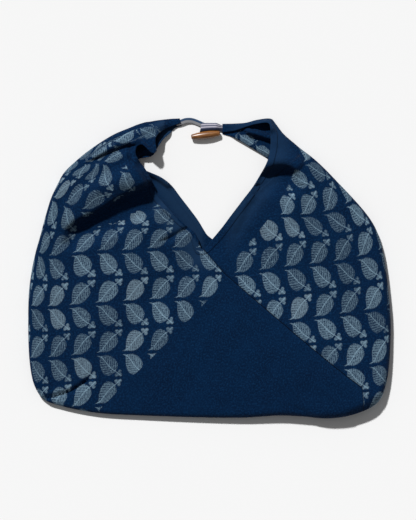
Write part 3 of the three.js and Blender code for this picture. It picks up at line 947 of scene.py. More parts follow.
# A leaf from tip to base: how far its midrib bows towards the row of tips, which gives it a
# thin tail, and its half width, both as shares
LEAF_BOW = [(0, 0), (0.12, 0.87), (0.2, 1), (0.37, 0.73), (0.57, 0.33), (0.81, 0), (1, 0)]
LEAF_HALF = [(0, 0), (0.04, 0.05), (0.12, 0.11), (0.2, 0.31), (0.3, 0.6), (0.37, 0.75), (0.57, 0.98),
             (0.7, 1), (0.8, 0.94), (0.93, 0.57), (1, 0)]
# The leaf's cell is 25 units wide, and its tip and axis lie in it like this
CELL = 25.0
HALF_ROW = 25.4
LEAF_TIP = (-1.3, 2.6)
LEAF_TURN = math.radians(40)
LEAF_LENGTH = 25.6
LEAF_BOWED = 3.0
LEAF_WIDTH = 8.8
# The cell leans by this share of a column between two distances from the row of tips, and
# starts a little to the other side
LEAN = 0.1
LEAN_START = 0.02
LEAN_BETWEEN = (14.0, 2.0)
# Slight unevenness of the print: how far places wander, how much of that goes along the row,
# and how ragged a leaf's edge is
WOBBLE = 1.6
WOBBLE_ACROSS = 0.7
RAGGED = 3.2
# Sprout past the leaf's base: place along and across, and half sizes, of its middle lobe and
# of its two side lobes; then the stem's half width and its two ends, each from and to
SPROUT_LOBES = ((30.5, 0.0, 2.5, 2.0), (28.4, 2.3, 1.7, 1.9))
STEM_HALF = (0.6, 0.25)
STEM_ENDS = ((23.5, 24.5), (31.2, 29.7))
# Side veins: how much they run towards the tip, and half the way from one to the next; then
# how fine the net between them is
VEIN_SLANT = 0.85
VEIN_SPACING = 1.4
NET_SCALE = 0.62


def leaf_print_group():
    """Leaf print: mirrored rows of leaves with a bent tip, net veins and a three-lobed sprout.
    Place gives column and row."""
    tree, n, given, out = group_tree("Leaf Print", {}, ("Leaf", "Vein", "Chance"))
    place = n.parts(given["Place"])
    column, row = place[0], place[1]
    b = abs(row - n.math("ROUND", row)) * (2 * HALF_ROW)
    # The cell leans, so that a leaf's tail may reach under its neighbour
    lean = n.step(b, *LEAN_BETWEEN) * LEAN - LEAN_START
    leaning = column + lean
    a = (n.math("FRACT", leaning) - lean) * CELL
    # Slight hand-made unevenness, so that no two leaves are quite alike
    cell = n.add("ShaderNodeCombineXYZ", X=n.math("FLOOR", leaning), Y=n.math("FLOOR", row * 2.0))
    chance = n.add("ShaderNodeTexWhiteNoise", {"noise_dimensions": "3D"}, Vector=cell)
    shift = (n.noise(given["Place"], 9.0, 1.0) - 0.5) * WOBBLE
    a = a + shift * WOBBLE_ACROSS
    b = b + shift
    a0, b0 = a - LEAF_TIP[0], b - LEAF_TIP[1]
    cosine, sine = math.cos(LEAF_TURN), math.sin(LEAF_TURN)
    along = a0 * cosine + b0 * sine
    across = b0 * cosine - a0 * sine
    share = along / LEAF_LENGTH
    across = across + n.curve(share, LEAF_BOW) * LEAF_BOWED
    far = abs(across)
    half = n.curve(share, LEAF_HALF) * LEAF_WIDTH
    ragged = (n.noise(given["Place"], 60.0, 2.0) - 0.5) * RAGGED
    inside = n.least(half - far + ragged, n.least(along, LEAF_LENGTH - along))
    body = n.step(inside, 0.0, 0.7)
    # Three-lobed sprout past the leaf's base, on a short stem
    side = abs(across + 0.3)

    def lobe(x, y, half_along, half_across):
        u, v = (along - x) / half_along, (side - y) / half_across
        return n.math("SQRT", u * u + v * v)

    sprout = n.step(n.least(*(lobe(*row) for row in SPROUT_LOBES)), 1.15, 0.8)
    stem = n.step(side, *STEM_HALF) * (n.step(along, *STEM_ENDS[0]) * n.step(along, *STEM_ENDS[1]))
    leaf = n.most(body, n.most(sprout, stem * 0.9))
    # Midrib, side veins that run towards the tip, fine net between them, and a pale outline
    rib = n.step(far - share * 0.25, 0.55, 0.1)
    veins = n.step(n.math("PINGPONG", along + far * VEIN_SLANT, VEIN_SPACING), 0.6, 0.15)
    net = n.add("ShaderNodeTexVoronoi", {"feature": "DISTANCE_TO_EDGE"}, Scale=NET_SCALE,
                Vector=n.add("ShaderNodeCombineXYZ", X=a, Y=b))
    net = n.step(net, 0.2, 0.05)
    rim = n.step(inside, 1.5, 0.7) * body
    vein = n.most(n.most(rib, veins * 0.8), n.most(net * 0.5, rim * 0.2))
    n.join(leaf, out["Leaf"])
    n.join(n.most(vein, sprout * 0.5), out["Vein"])
    n.join(chance, out["Chance"])
    return tree


def weave_group():
    """Plain weave: threads over and under, with uneven thickness. Place is in millimetres."""
    tree, n, given, out = group_tree("Plain Weave", {"Pitch": 0.7, "Slub": 0.35}, ("Height", "Shade"))
    place = n.parts(given["Place"])
    turns = math.pi / given["Pitch"]
    across, along = (n.math("SINE", place[axis] * turns) for axis in (0, 1))
    over = n.math("GREATER_THAN", across * along, 0.0)
    height = n.mix(over, abs(across), abs(along), "FLOAT")
    # Long thick and thin stretches of both sets of threads
    warp, weft = (n.noise(n.scaled(given["Place"], stretch), 1.0, 1.0)
                  for stretch in ((1.3, 0.03, 1.0), (0.03, 1.3, 1.0)))
    slub = (warp + weft - 1.0) * given["Slub"]
    n.join(height * 0.6 + slub, out["Height"])
    n.join(height * 0.3 + (slub + 0.5), out["Shade"])
    return tree


def dye_group():
    """Cloudy dye: how deep the colour is, from 0 to 1, from place in millimetres."""
    tree, n, given, out = group_tree("Cloudy Dye", {}, ("Depth", "Mottle"))
    clouds = n.noise(given["Place"], 0.017, 3.0, 0.55)
    patches = n.noise(given["Place"], 0.07, 2.0, 0.5)
    n.join(n.step(clouds * 0.65 + patches * 0.35, 0.3, 0.7), out["Depth"])
    n.join(n.noise(given["Place"], 0.36, 3.0, 0.65), out["Mottle"])
    return tree


# Cloth: pitch of its threads in millimetres, what their shadow and light do to the colour,
# and the dark of its seams
THREAD_PITCH = 0.62
THREAD_SHADOW = (0.82, 0.82, 0.84, 1)
THREAD_LIGHT = (1.1, 1.1, 1.1, 1)
SEAM_SHADOW = (0.0, 0.002, 0.008, 1)
# How much veins, chance, mottle and speckle pale a leaf, and the chance that changes nothing
VEIN_PALES = 0.8
CHANCE_PALES = 0.35
MOTTLE_PALES = 1.1
SPECKLE_PALES = 1.2
EVEN_CHANCE = 0.78
# How much of the ground a leaf covers, and how brown the browner leaves are
LEAF_COVERS = 0.93
BROWNER = 0.18


def cloth_material(name, groups, look, printed):
    """Indigo cotton. The printed side has pale leaves; the other side is plain, and only its
    turned strip at the right horn shows the print."""
    material, n, shader = new_material(name, Roughness=0.86, Sheen_Weight=0.02, Sheen_Roughness=0.5,
                                       Specular_IOR_Level=0.06)
    left, right, seam = n.vector("left_print"), n.vector("right_print"), n.number("seam")
    place = n.mix(n.math("GREATER_THAN", seam, 0.0), left, right, "VECTOR")
    depth = n.parts(place)[2]
    flat = n.scaled(place, (COLUMN, ROW, 0.0))
    weave = n.group(groups["weave"], Place=flat, Pitch=THREAD_PITCH)
    dye = n.group(groups["dye"], Place=flat)
    mottle = dye["Mottle"]
    ground = n.mix(dye["Depth"], look.indigo_deep[:], look.indigo[:])
    ground = n.mix(n.step(mottle, 0.42, 0.72), ground, look.indigo_pale[:])
    ground = n.mix(n.number("worn"), ground, look.indigo_worn[:])
    leaf = n.group(groups["leaf"], Place=place)
    shown = leaf["Leaf"] * n.step(depth, -0.2, 0.4)
    if not printed:
        shown = shown * n.step(n.number("turned"), 0.3, 0.5)
    speckle = n.noise(flat, 0.75, 2.0, 0.6)
    tone = leaf["Vein"] * VEIN_PALES + (leaf["Chance"] - EVEN_CHANCE) * CHANCE_PALES
    tone = tone + (mottle - 0.5) * MOTTLE_PALES
    tone = tone + (speckle - 0.5) * SPECKLE_PALES
    leaf_colour = n.mix(tone, look.leaf[:], look.leaf_pale[:])
    leaf_colour = n.mix(n.step(leaf["Chance"], 0.72, 0.9) * BROWNER, leaf_colour, look.leaf_worn[:])
    colour = n.mix(shown * LEAF_COVERS, ground, leaf_colour)
    colour = n.mix(1.0, colour, n.mix(weave["Shade"], THREAD_SHADOW, THREAD_LIGHT), blend="MULTIPLY")
    normal = n.bump(n.noise(flat, 0.12, 3.0, 0.55), 0.35, 0.0016)
    if printed:
        # Seam line and lap, and the edge of the turned hem
        sewn, from_rim, hem = n.number("sewn"), n.number("hem"), look.hem / MM
        line = n.step(abs(seam), 1.4, 0.3) * sewn
        fell = n.step(abs(from_rim - hem), 1.5, 0.2)
        colour = n.mix(n.most(line * 0.33, fell * 0.2), colour, SEAM_SHADOW)
        lap = n.step(seam, -0.9, 0.9) * sewn
        turned_edge = n.step(from_rim, hem + 0.5, hem - 0.7) * 0.4
        normal = n.bump(lap + turned_edge, 1.0, 0.0022, normal)
    n.join(colour, shader["Base Color"])
    n.join(n.mix(mottle, 0.8, 0.95, "FLOAT"), shader["Roughness"])
    n.join(n.bump(weave["Height"], 0.5, 0.00022, normal), shader["Normal"])
    return material


# Tapes: the angle that the wave of their lengthwise threads runs through from edge to edge,
# what shadow and light of the threads do to the colour, and how uneven a stripe's edge is
TAPE_THREADS = 62.0
TAPE_SHADOW = (0.72, 0.72, 0.75, 1)
TAPE_LIGHT = (1.12, 1.12, 1.1, 1)
STRIPE_BLUR = 0.01
STRIPE_WANDER = 0.03


def tape_material(name, base, bands, ribs):
    """Narrow woven tape. The tape attribute holds millimetres along and the share across. Bands
    lists the coloured stripes by share: from, to, colour. Ribs is the angle that the wave of
    ribs runs through in a millimetre."""
    material, n, shader = new_material(name, Roughness=0.8, Sheen_Weight=0.15, Specular_IOR_Level=0.3)
    tape = n.vector("tape")
    parts = n.parts(tape)
    along, across = parts[0], parts[1]
    blurred = across + (n.noise(tape, 3.0, 2.0) - 0.5) * STRIPE_WANDER
    colour = n.mix(n.noise(tape, 0.8, 3.0), base[:], darker(base, 0.8))
    for start, end, stripe in bands:
        within = n.step(blurred, start - STRIPE_BLUR, start + STRIPE_BLUR)
        within = within * n.step(blurred, end + STRIPE_BLUR, end - STRIPE_BLUR)
        colour = n.mix(within, colour, stripe[:])
    rib, warp = abs(n.math("SINE", along * ribs)), abs(n.math("SINE", across * TAPE_THREADS))
    weave = (rib + warp * 0.5) * 0.66
    n.join(n.mix(1.0, colour, n.mix(weave, TAPE_SHADOW, TAPE_LIGHT), blend="MULTIPLY"),
           shader["Base Color"])
    n.join(n.bump(weave, 0.6, 0.0002), shader["Normal"])
    return material


def thread_material(name, colour):
    """Matt cotton thread."""
    material, n, shader = new_material(name, Roughness=0.9, Specular_IOR_Level=0.08)
    fibre = n.noise(n.place(), 2600.0, 2.0)
    n.join(n.mix(fibre, darker(colour, 0.7), colour[:]), shader["Base Color"])
    n.join(n.bump(fibre, 0.5, 0.0001), shader["Normal"])
    return material


def wood_material(name, look, turn, centre):
    """Turned hardwood with grain along the barrel, oiled and polished."""
    material, n, shader = new_material(name, Coat_Weight=0.4, Coat_Roughness=0.25, Specular_IOR_Level=0.5)
    moved = n.add("ShaderNodeMapping", {"vector_type": "TEXTURE"}, Vector=n.place(),
                  Location=centre, Rotation=(0, 0, turn))
    streaks = n.noise(n.scaled(moved, (40.0, 900.0, 900.0)), 1.0, 3.0, 0.6)
    bands = n.noise(n.scaled(moved, (14.0, 160.0, 160.0)), 1.0, 2.0, 0.5)
    pores = n.step(streaks, 0.36, 0.3)
    colour = n.mix(n.step(bands, 0.3, 0.7), look.wood_dark[:], look.wood[:])
    colour = n.mix(n.step(streaks, 0.45, 0.7) * 0.55, colour, look.wood_pale[:])
    colour = n.mix(pores * 0.6, colour, darker(look.wood_dark, 0.4))
    n.join(colour, shader["Base Color"])
    n.join(n.mix(streaks, 0.25, 0.48, "FLOAT"), shader["Roughness"])
    n.join(n.bump(streaks - pores * 0.4, 0.25, 0.00015), shader["Normal"])
    return material


def floor_material(colour):
    """Pale matt surface, very slightly uneven in tone."""
    material, n, shader = new_material("floor", Roughness=0.95, Specular_IOR_Level=0.0)
    n.join(n.mix(n.noise(n.place(), 2.0, 2.0), darker(colour, 0.985), colour[:]), shader["Base Color"])
    return material


# Stitches

def stitch_tree():
    """Geometry nodes: a row of stitches along a line of edges."""
    tree = bpy.data.node_groups.new("Stitch Row", "GeometryNodeTree")
    tree.interface.new_socket(name="Line", in_out="INPUT", socket_type="NodeSocketGeometry")
    for label, default in (("Pitch", 0.004), ("Stitch Length", 0.003), ("Thread Radius", 0.00022)):
        socket = tree.interface.new_socket(name=label, in_out="INPUT", socket_type="NodeSocketFloat")
        socket.default_value = default
        socket.min_value = 0.00001
        socket.subtype = "DISTANCE"
    tree.interface.new_socket(name="Thread", in_out="INPUT", socket_type="NodeSocketMaterial")
    tree.interface.new_socket(name="Stitches", in_out="OUTPUT", socket_type="NodeSocketGeometry")
    n = Nodes(tree)
    given, out = n.add("NodeGroupInput"), n.add("NodeGroupOutput").node.inputs
    line = n.add("GeometryNodeMeshToCurve", Mesh=given["Line"])
    spots = n.add("GeometryNodeCurveToPoints", {"mode": "LENGTH"}, Curve=line, Length=given["Pitch"])
    bead = n.add("GeometryNodeMeshUVSphere", Segments=6, Rings=5, Radius=1.0)
    shape = n.add("ShaderNodeCombineXYZ", X=given["Thread Radius"], Y=given["Thread Radius"],
                  Z=given["Stitch Length"] * 0.5)
    rows = n.add("GeometryNodeInstanceOnPoints", Points=spots["Points"], Instance=bead,
                 Rotation=spots["Rotation"], Scale=shape)
    mesh = n.add("GeometryNodeRealizeInstances", Geometry=rows)
    n.join(n.add("GeometryNodeSetMaterial", Geometry=mesh, Material=given["Thread"]), out["Stitches"])
    return tree


def stitch_piece(name, lines, tree, pitch, length, radius, material):
    """Stitches along lines of points in millimetres, as one plain mesh."""
    points, edges, start = [], [], 0
    for line in lines:
        points += [tuple(MM * c for c in p) for p in line]
        edges += [(start + k, start + k + 1) for k in range(len(line) - 1)]
        start += len(line)
    mesh = bpy.data.meshes.new(name + "_line")
    mesh.from_pydata(points, edges, [])
    guide = placed(name + "_line", mesh)
    modifier = guide.modifiers.new("Stitches", "NODES")
    modifier.node_group = tree
    values = {"Pitch": pitch, "Stitch Length": length, "Thread Radius": radius, "Thread": material}
    for item in tree.interface.items_tree:
        if item.item_type == "SOCKET" and item.in_out == "INPUT" and item.name in values:
            modifier[item.identifier] = values[item.name]
    graph = bpy.context.evaluated_depsgraph_get()
    made = bpy.data.meshes.new_from_object(guide.evaluated_get(graph), depsgraph=graph)
    made.name = name
    bpy.data.objects.remove(guide)
    shade_smooth(made)
    return placed(name, made)


# Sizes and colours that a user would change

def size(name, description, default):
    return FloatProperty(name=name, description=description, default=default, unit="LENGTH")


def tint(name, description, hex_text):
    return FloatVectorProperty(name=name, description=description, subtype="COLOR", size=4,
                               default=rgb(hex_text))


class ClothSettings(bpy.types.PropertyGroup):
    strip_width: size("Strip Width", "Width of the flat hemmed strip", 0.40)
    strip_length: size("Strip Length", "Length of the flat hemmed strip", 1.20)
    thickness: size("Cloth Thickness", "Thickness of the cotton", 0.0011)
    lying: size("Lying Height", "Height of the cloth's middle where it lies", 0.0008)
    hem: size("Hem Width", "Width of the turned hem along the mouth", 0.0105)
    hem_swell: size("Hem Swell", "Extra half thickness of the hem", 0.0004)
    indigo: tint("Indigo", "The dyed ground", "001A37")
    indigo_deep: tint("Deep Indigo", "Where more dye was taken up", "00142E")
    indigo_pale: tint("Pale Indigo", "Worn and mottled fibres", "06294A")
    indigo_worn: tint("Worn Indigo", "The cloth worn by hands along the mouth", "122A45")
    leaf: tint("Leaf", "The leaves between their veins", "16293F")
    leaf_worn: tint("Worn Leaf", "Browner leaves here and there", "5F6468")
    leaf_pale: tint("Leaf Veins", "Veins and outlines of the leaves", "7D99AA")


class TrimSettings(bpy.types.PropertyGroup):
    loop_width: size("Loop Width", "Width of the loop's tape", 0.0076)
    loop_thickness: size("Loop Thickness", "Thickness of the loop's tape", 0.0010)
    band_thickness: size("Band Thickness", "Thickness of the striped tape", 0.0012)
    stitch: size("Stitch Length", "Length of one hem stitch", 0.0027)
    stitch_pitch: size("Stitch Pitch", "From one hem stitch to the next", 0.0036)
    toggle_length: size("Toggle Length", "Length of the wooden barrel", 0.045)
    toggle_radius: size("Toggle Radius", "Radius at the barrel's middle", 0.006)
    toggle_end: size("Toggle End Radius", "Radius at the barrel's ends", 0.0035)
    loop_colour: tint("Loop", "The loop's tape", "85868A")
    loop_edge: tint("Loop Edge", "The blue edge of the loop's tape", "24405F")
    band_colour: tint("Band", "The striped tape's ground", "74778C")
    band_pale: tint("Band Pale", "The striped tape's pale rows", "B9B4BE")
    band_line: tint("Band Line", "The striped tape's lines", "141D36")
    wood: tint("Wood", "The toggle's wood", "80501F")
    wood_dark: tint("Dark Wood", "The wood's dark bands", "4E2A0E")
    wood_pale: tint("Pale Wood", "The wood's pale streaks", "A8743A")


class StageSettings(bpy.types.PropertyGroup):
    picture_height: size("Picture Height", "Height of what the camera sees", 0.806)
    lens: FloatProperty(name="Lens", description="Focal length in millimetres", default=250.0)
    sun: FloatProperty(name="Sun", description="Strength of the key light", default=4.1)
    sky: FloatProperty(name="Sky", description="Strength of the soft light all round", default=0.2)
    floor: FloatVectorProperty(name="Floor", description="The pale surface", subtype="COLOR", size=4,
                               default=(0.83, 0.83, 0.83, 1))


def shared_groups():
    """The shader groups that the two cloth materials share, made once."""
    makers = {"leaf": ("Leaf Print", leaf_print_group), "weave": ("Plain Weave", weave_group),
              "dye": ("Cloudy Dye", dye_group)}
    return {key: bpy.data.node_groups.get(name) or maker() for key, (name, maker) in makers.items()}


def finish_piece(piece, node=None):
    """Sets a piece on the body, over the solid that it dresses."""
    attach(piece, BODY)
    if node:
        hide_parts(node)


# The tapes and the toggle, in millimetres

TOGGLE_CENTRE = np.array([-6, 205, 6.05])
TOGGLE_TURN = math.radians(7.4)
LOOP_PATH = [(-52, 223.3), (-45, 224.8), (-36, 227.6), (-27, 227.4), (-18, 224.2), (-8, 219.6)]
# Gap between the loop's two runs, the middle of the horn's tip they come from, and the shares
# of the path over which they sink to the floor
LOOP_GAP = 0.7
LOOP_IN_TIP = BACK_RIM[0, 2] + OUTLINE[0, 2]
LOOP_SINKS = (0.25, 0.8)
LOOP_STEPS = 40
LOOP_END_STEPS = 11
LOOP_COLUMNS = 9
TAPE_ENDS = (-15, 29)
TAPE_SLANT = 3
TAPE_TOP_EDGE = 223.5
# The tape inside the horn: its upper edge, its lower edge and its height, and where it is
# free of the horn
TAPE_IN_HORN = (220, 214, 2.7)
TAPE_LEAVES_HORN = (8, 20)
TAPE_TURNED_WIDTH = 3.6
TAPE_OVER_LOOP = 6.5
TAPE_AT_TOGGLE = 8.6
TAPE_ARCH = 0.3
TAPE_TURNS = (math.radians(18), math.radians(-35))
TAPE_STEPS = 60
TAPE_FLAT_COLUMNS = 13
TAPE_TURNED_COLUMNS = 12
TAPE_ROUNDING = 9
CLEARANCE = 0.45
# Half thickness at a tape's and at the cloth's rims, and how far their rims are rounded out,
# as shares of the thickness
TAPE_RIM_SHARE = 0.55
TAPE_RIM_ROUND = 0.25
CLOTH_RIM_SHARE = 0.6
CLOTH_RIM_ROUND = 0.3


def barrel_radius(along, trim):
    """The toggle's radius at a place along it."""
    half = trim.toggle_length / MM / 2
    middle, end = trim.toggle_radius / MM, trim.toggle_end / MM
    return middle - (middle - end) * (along / half) ** 2


def loop_line(t):
    """The plain curve on the plan that the loop's solid follows."""
    return through(np.array([(x, y, 0.0) for x, y in LOOP_PATH]), t)


def loop_grid(trim):
    """Middle surface of the loop: an upper run, a round end and a lower run."""
    thick, width = trim.loop_thickness / MM, trim.loop_width / MM
    turn = (LOOP_GAP + thick) / 2
    run = np.linspace(0, 1, LOOP_STEPS)
    angles = np.linspace(math.pi / 2, -math.pi / 2, LOOP_END_STEPS)[1:-1]
    straight = np.ones(LOOP_STEPS)
    t = np.concatenate([run, np.ones(len(angles)), run[::-1]])
    up = np.concatenate([turn * straight, turn * np.sin(angles), -turn * straight])
    beyond = np.concatenate([0 * straight, turn * np.cos(angles), 0 * straight])
    at = loop_line(t)
    ahead = loop_line(np.minimum(t + 1e-3, 1)) - loop_line(np.maximum(t - 1e-3, 0))
    ahead /= np.linalg.norm(ahead, axis=1, keepdims=True)
    sag = (LOOP_IN_TIP - turn - thick / 2) * smooth(t, *LOOP_SINKS)
    across = (np.linspace(0, 1, LOOP_COLUMNS) - 0.5) * width
    grid = np.zeros((len(t), len(across), 3))
    grid[..., 0] = (at[:, 0] + beyond * ahead[:, 0])[:, None] + across[None, :] * ahead[:, 1][:, None]
    grid[..., 1] = (at[:, 1] + beyond * ahead[:, 1])[:, None] - across[None, :] * ahead[:, 0][:, None]
    grid[..., 2] = (LOOP_IN_TIP - sag + up)[:, None]
    return grid


def band_grid(trim):
    """Middle surface of the striped tape: flat inside the horn's tip, then across to the
    toggle, where its lower edge turns down round the barrel's flank."""
    thick = trim.band_thickness / MM
    u = np.linspace(0, 1, TAPE_STEPS)[:, None]
    x = TAPE_ENDS[0] + (TAPE_ENDS[1] - TAPE_ENDS[0]) * u
    free = fading(x, *TAPE_LEAVES_HORN)
    from_centre = (x - TOGGLE_CENTRE[0]) / math.cos(TOGGLE_TURN)
    axis_y = TOGGLE_CENTRE[1] + from_centre * math.sin(TOGGLE_TURN)
    wrap = barrel_radius(from_centre, trim) + CLEARANCE + thick / 2
    top, bottom, height = TAPE_IN_HORN
    top_y = top + (TAPE_TOP_EDGE - top) * free

    def end_at(angle):
        y = bottom + (axis_y + wrap * np.cos(angle) - bottom) * free
        return y, height + (TOGGLE_CENTRE[2] + wrap * np.sin(angle) - height) * free

    corner_y, corner_z = end_at(TAPE_TURNS[0])
    top_z = height + (TAPE_OVER_LOOP - height) * free
    s = np.linspace(0, 1, TAPE_FLAT_COLUMNS)[None, :-1]
    rise = (TAPE_AT_TOGGLE - TAPE_OVER_LOOP) * free * np.sin(math.pi * s) * TAPE_ARCH
    flat = np.stack([
        x + TAPE_SLANT * (1 - s) * (1 - u),
        top_y + (corner_y - top_y) * s,
        top_z + (corner_z - top_z) * s + rise,
    ], 2)
    s = np.linspace(0, 1, TAPE_TURNED_COLUMNS)[None, :]
    y, z = end_at(TAPE_TURNS[0] + (TAPE_TURNS[1] - TAPE_TURNS[0]) * s)
    turned = np.stack([x + 0 * s, y - (1 - free) ** 3 * TAPE_TURNED_WIDTH * s, z], 2)
    return rounded_corners(np.concatenate([flat, turned], 1), TAPE_ROUNDING)


def run_along(line):
    """Length from a line's start to each of its points."""
    return np.concatenate([[0], np.cumsum(np.linalg.norm(np.diff(line, axis=0), axis=1))])


def tape_piece(name, grid, thickness, material):
    """A tape with rounded edges round its middle surface."""
    half = np.full(grid.shape[:2], thickness / 2)
    half[:, [0, -1]] *= TAPE_RIM_SHARE
    points, outside, inside, edges, row_of, column_of = closed_sheet(
        grid, half, half, thickness * TAPE_RIM_ROUND)
    along, width = run_along(grid[:, 0]), run_along(grid[0])
    tape = np.stack([along[row_of], (width / width[-1])[column_of], np.zeros(len(row_of))], 1)
    return mesh_piece(name, points, outside + inside + edges, [material], attributes=[("tape", tape)])


class HORNBAG_OT_cloth(bpy.types.Operator):
    """Builds the bag's cloth: one printed strip, folded and sewn, with its hems and folds"""

    bl_idname = "hornbag.cloth"
    bl_label = "Bag Cloth"

    # The right horn's turned strip: its width from the rim, and where it starts
    TURNED_WIDTH = (17, 19)
    TURNED_FROM_X = (38, 42)
    TURNED_FROM_Y = 165

    def execute(self, context):
        look = context.scene.hornbag_cloth
        cloth = ClothGrid(look)
        halves = cloth_halves(cloth, look)
        for half in halves:
            half[:, [0, -1]] *= CLOTH_RIM_SHARE
        points, outside, inside, edges, row_of, column_of = closed_sheet(
            cloth.points, *halves, look.thickness / MM * CLOTH_RIM_ROUND)
        groups = shared_groups()
        outer = cloth_material("indigo_print", groups, look, printed=True)
        plain = cloth_material("indigo_plain", groups, look, printed=False)
        face_materials = [0] * len(outside) + [1] * len(inside) + [0] * len(edges)
        marks = {
            "left_print": cloth.left, "right_print": cloth.right, "seam": cloth.seam,
            "turned": self.turned_strip(cloth), "sewn": cloth.sewn, "worn": cloth.worn,
            "hem": cloth.hem_distance,
        }
        attributes = [(name, mark[row_of, column_of]) for name, mark in marks.items()]
        piece = mesh_piece("bag_cloth_printed", points, outside + inside + edges, [outer, plain],
                           face_materials, attributes)
        finish_piece(piece, "bag_cloth")
        return {"FINISHED"}

    def turned_strip(self, cloth):
        """1 on the back panel's strip at the right horn that is turned up and shows its print."""
        steps = np.diff(cloth.points[:, ::-1], axis=1, prepend=cloth.points[:, -1:])
        from_rim = np.cumsum(np.linalg.norm(steps, axis=2), axis=1)[:, ::-1]
        strip = fading(from_rim, *self.TURNED_WIDTH) * smooth(cloth.x, *self.TURNED_FROM_X)
        return np.where(cloth.on_back & (cloth.y > self.TURNED_FROM_Y), strip, 0.0)


class HORNBAG_OT_stitches(bpy.types.Operator):
    """Sews the hems along the mouth's front and back rims"""

    bl_idname = "hornbag.stitches"
    bl_label = "Hem Stitches"

    # The stitches run along the hem's column at this distance, and stop some sections before
    # the horns' tips
    STITCHED_AT = 8.6
    SECTIONS_LEFT_OUT = 6
    THREAD_COLOUR = "0B2345"

    def execute(self, context):
        look, trim = context.scene.hornbag_cloth, context.scene.hornbag_trim
        cloth = ClothGrid(look)
        outer_half, inner_half = cloth_halves(cloth, look)
        at = ClothGrid.HEM_DISTANCES.index(self.STITCHED_AT)
        outer, inner = sheet_layers(cloth.points, outer_half, inner_half)
        pressed, _ = sheet_layers(cloth.points, np.full_like(outer_half, cloth.lying - STITCH_RADIUS),
                                  inner_half)
        keep = slice(self.SECTIONS_LEFT_OUT, -self.SECTIONS_LEFT_OUT)
        lines = [outer[keep, at], inner[keep, at], pressed[keep, -1 - at], inner[keep, -1 - at]]
        thread = thread_material("hem_thread", rgb(self.THREAD_COLOUR))
        tree = bpy.data.node_groups.get("Stitch Row") or stitch_tree()
        piece = stitch_piece("hem_stitches", lines, tree, trim.stitch_pitch, trim.stitch,
                             STITCH_RADIUS * MM, thread)
        finish_piece(piece)
        return {"FINISHED"}


class HORNBAG_OT_loop(bpy.types.Operator):
    """Lays the tape loop that comes out of the left horn's tip"""

    bl_idname = "hornbag.loop"
    bl_label = "Tape Loop"

    # Shares of the width between which the edge is blue, and the ribs as angle in a millimetre
    EDGE_SHARES = (-0.1, 0.44)
    RIBS = 4.2

    def execute(self, context):
        trim = context.scene.hornbag_trim
        bands = [(*self.EDGE_SHARES, trim.loop_edge)]
        material = tape_material("loop_tape", trim.loop_colour, bands, self.RIBS)
        piece = tape_piece("loop_tape_woven", loop_grid(trim), trim.loop_thickness / MM, material)
        finish_piece(piece, "loop_tape")
        return {"FINISHED"}


class HORNBAG_OT_band(bpy.types.Operator):
    """Lays the striped tape from the right horn's tip to the toggle"""

    bl_idname = "hornbag.band"
    bl_label = "Striped Tape"

    # The ribs as angle in a millimetre, and the tape's middle column
    RIBS = 4.8
    MIDDLE_COLUMN = 6

    def execute(self, context):
        trim = context.scene.hornbag_trim
        grid = band_grid(trim)
        dark, pale = trim.band_line, trim.band_pale
        stripes = [(-0.1, 0.035, dark), (0.11, 0.19, pale), (0.24, 0.28, dark), (0.34, 0.42, pale),
                   (0.5, 1.1, dark)]
        material = tape_material("striped_tape", trim.band_colour, stripes, self.RIBS)
        piece = tape_piece("striped_tape_woven", grid, trim.band_thickness / MM, material)
        finish_piece(piece, "toggle_tape")
        return {"FINISHED"}


class HORNBAG_OT_toggle(bpy.types.Operator):
    """Turns the wooden toggle"""

    bl_idname = "hornbag.toggle"
    bl_label = "Toggle"

    SIDES = 56
    RINGS = 48
    # Radius of the rounding where the barrel meets its ends, in millimetres
    SOFTENING = 0.9

    def profile(self, trim):
        """Place along the barrel and radius there, from one end to the other."""
        half = trim.toggle_length / MM / 2
        inner = 0.5 * (trim.toggle_end / MM - self.SOFTENING)
        rings = []
        for k in range(self.RINGS + 1):
            along = -half + 2 * half * k / self.RINGS
            from_end = half - abs(along)
            round_off = math.sqrt(max(0.0, 1 - (1 - min(from_end / self.SOFTENING, 1)) ** 2))
            rings.append((along, barrel_radius(along, trim) - self.SOFTENING * (1 - round_off)))
        return [(-half, inner), *rings, (half, inner)]

    def execute(self, context):
        trim = context.scene.hornbag_trim
        rings = self.profile(trim)
        turn = Matrix.Rotation(TOGGLE_TURN, 3, "Z")
        points, faces = [], []
        for along, radius in rings:
            for side in range(self.SIDES):
                angle = 2 * math.pi * side / self.SIDES
                spot = turn @ Vector((along, radius * math.cos(angle), radius * math.sin(angle)))
                points.append(tuple(spot + Vector(TOGGLE_CENTRE)))
        last = (len(rings) - 1) * self.SIDES
        for start in range(0, last, self.SIDES):
            for side in range(self.SIDES):
                a, b = start + side, start + (side + 1) % self.SIDES
                faces.append((a, b, b + self.SIDES, a + self.SIDES))
        faces.append(tuple(reversed(range(self.SIDES))))
        faces.append(tuple(range(last, last + self.SIDES)))
        material = wood_material("toggle_wood", trim, TOGGLE_TURN, tuple(TOGGLE_CENTRE * MM))
        piece = mesh_piece("toggle_turned", points, faces, [material])
        finish_piece(piece, "toggle")
        return {"FINISHED"}


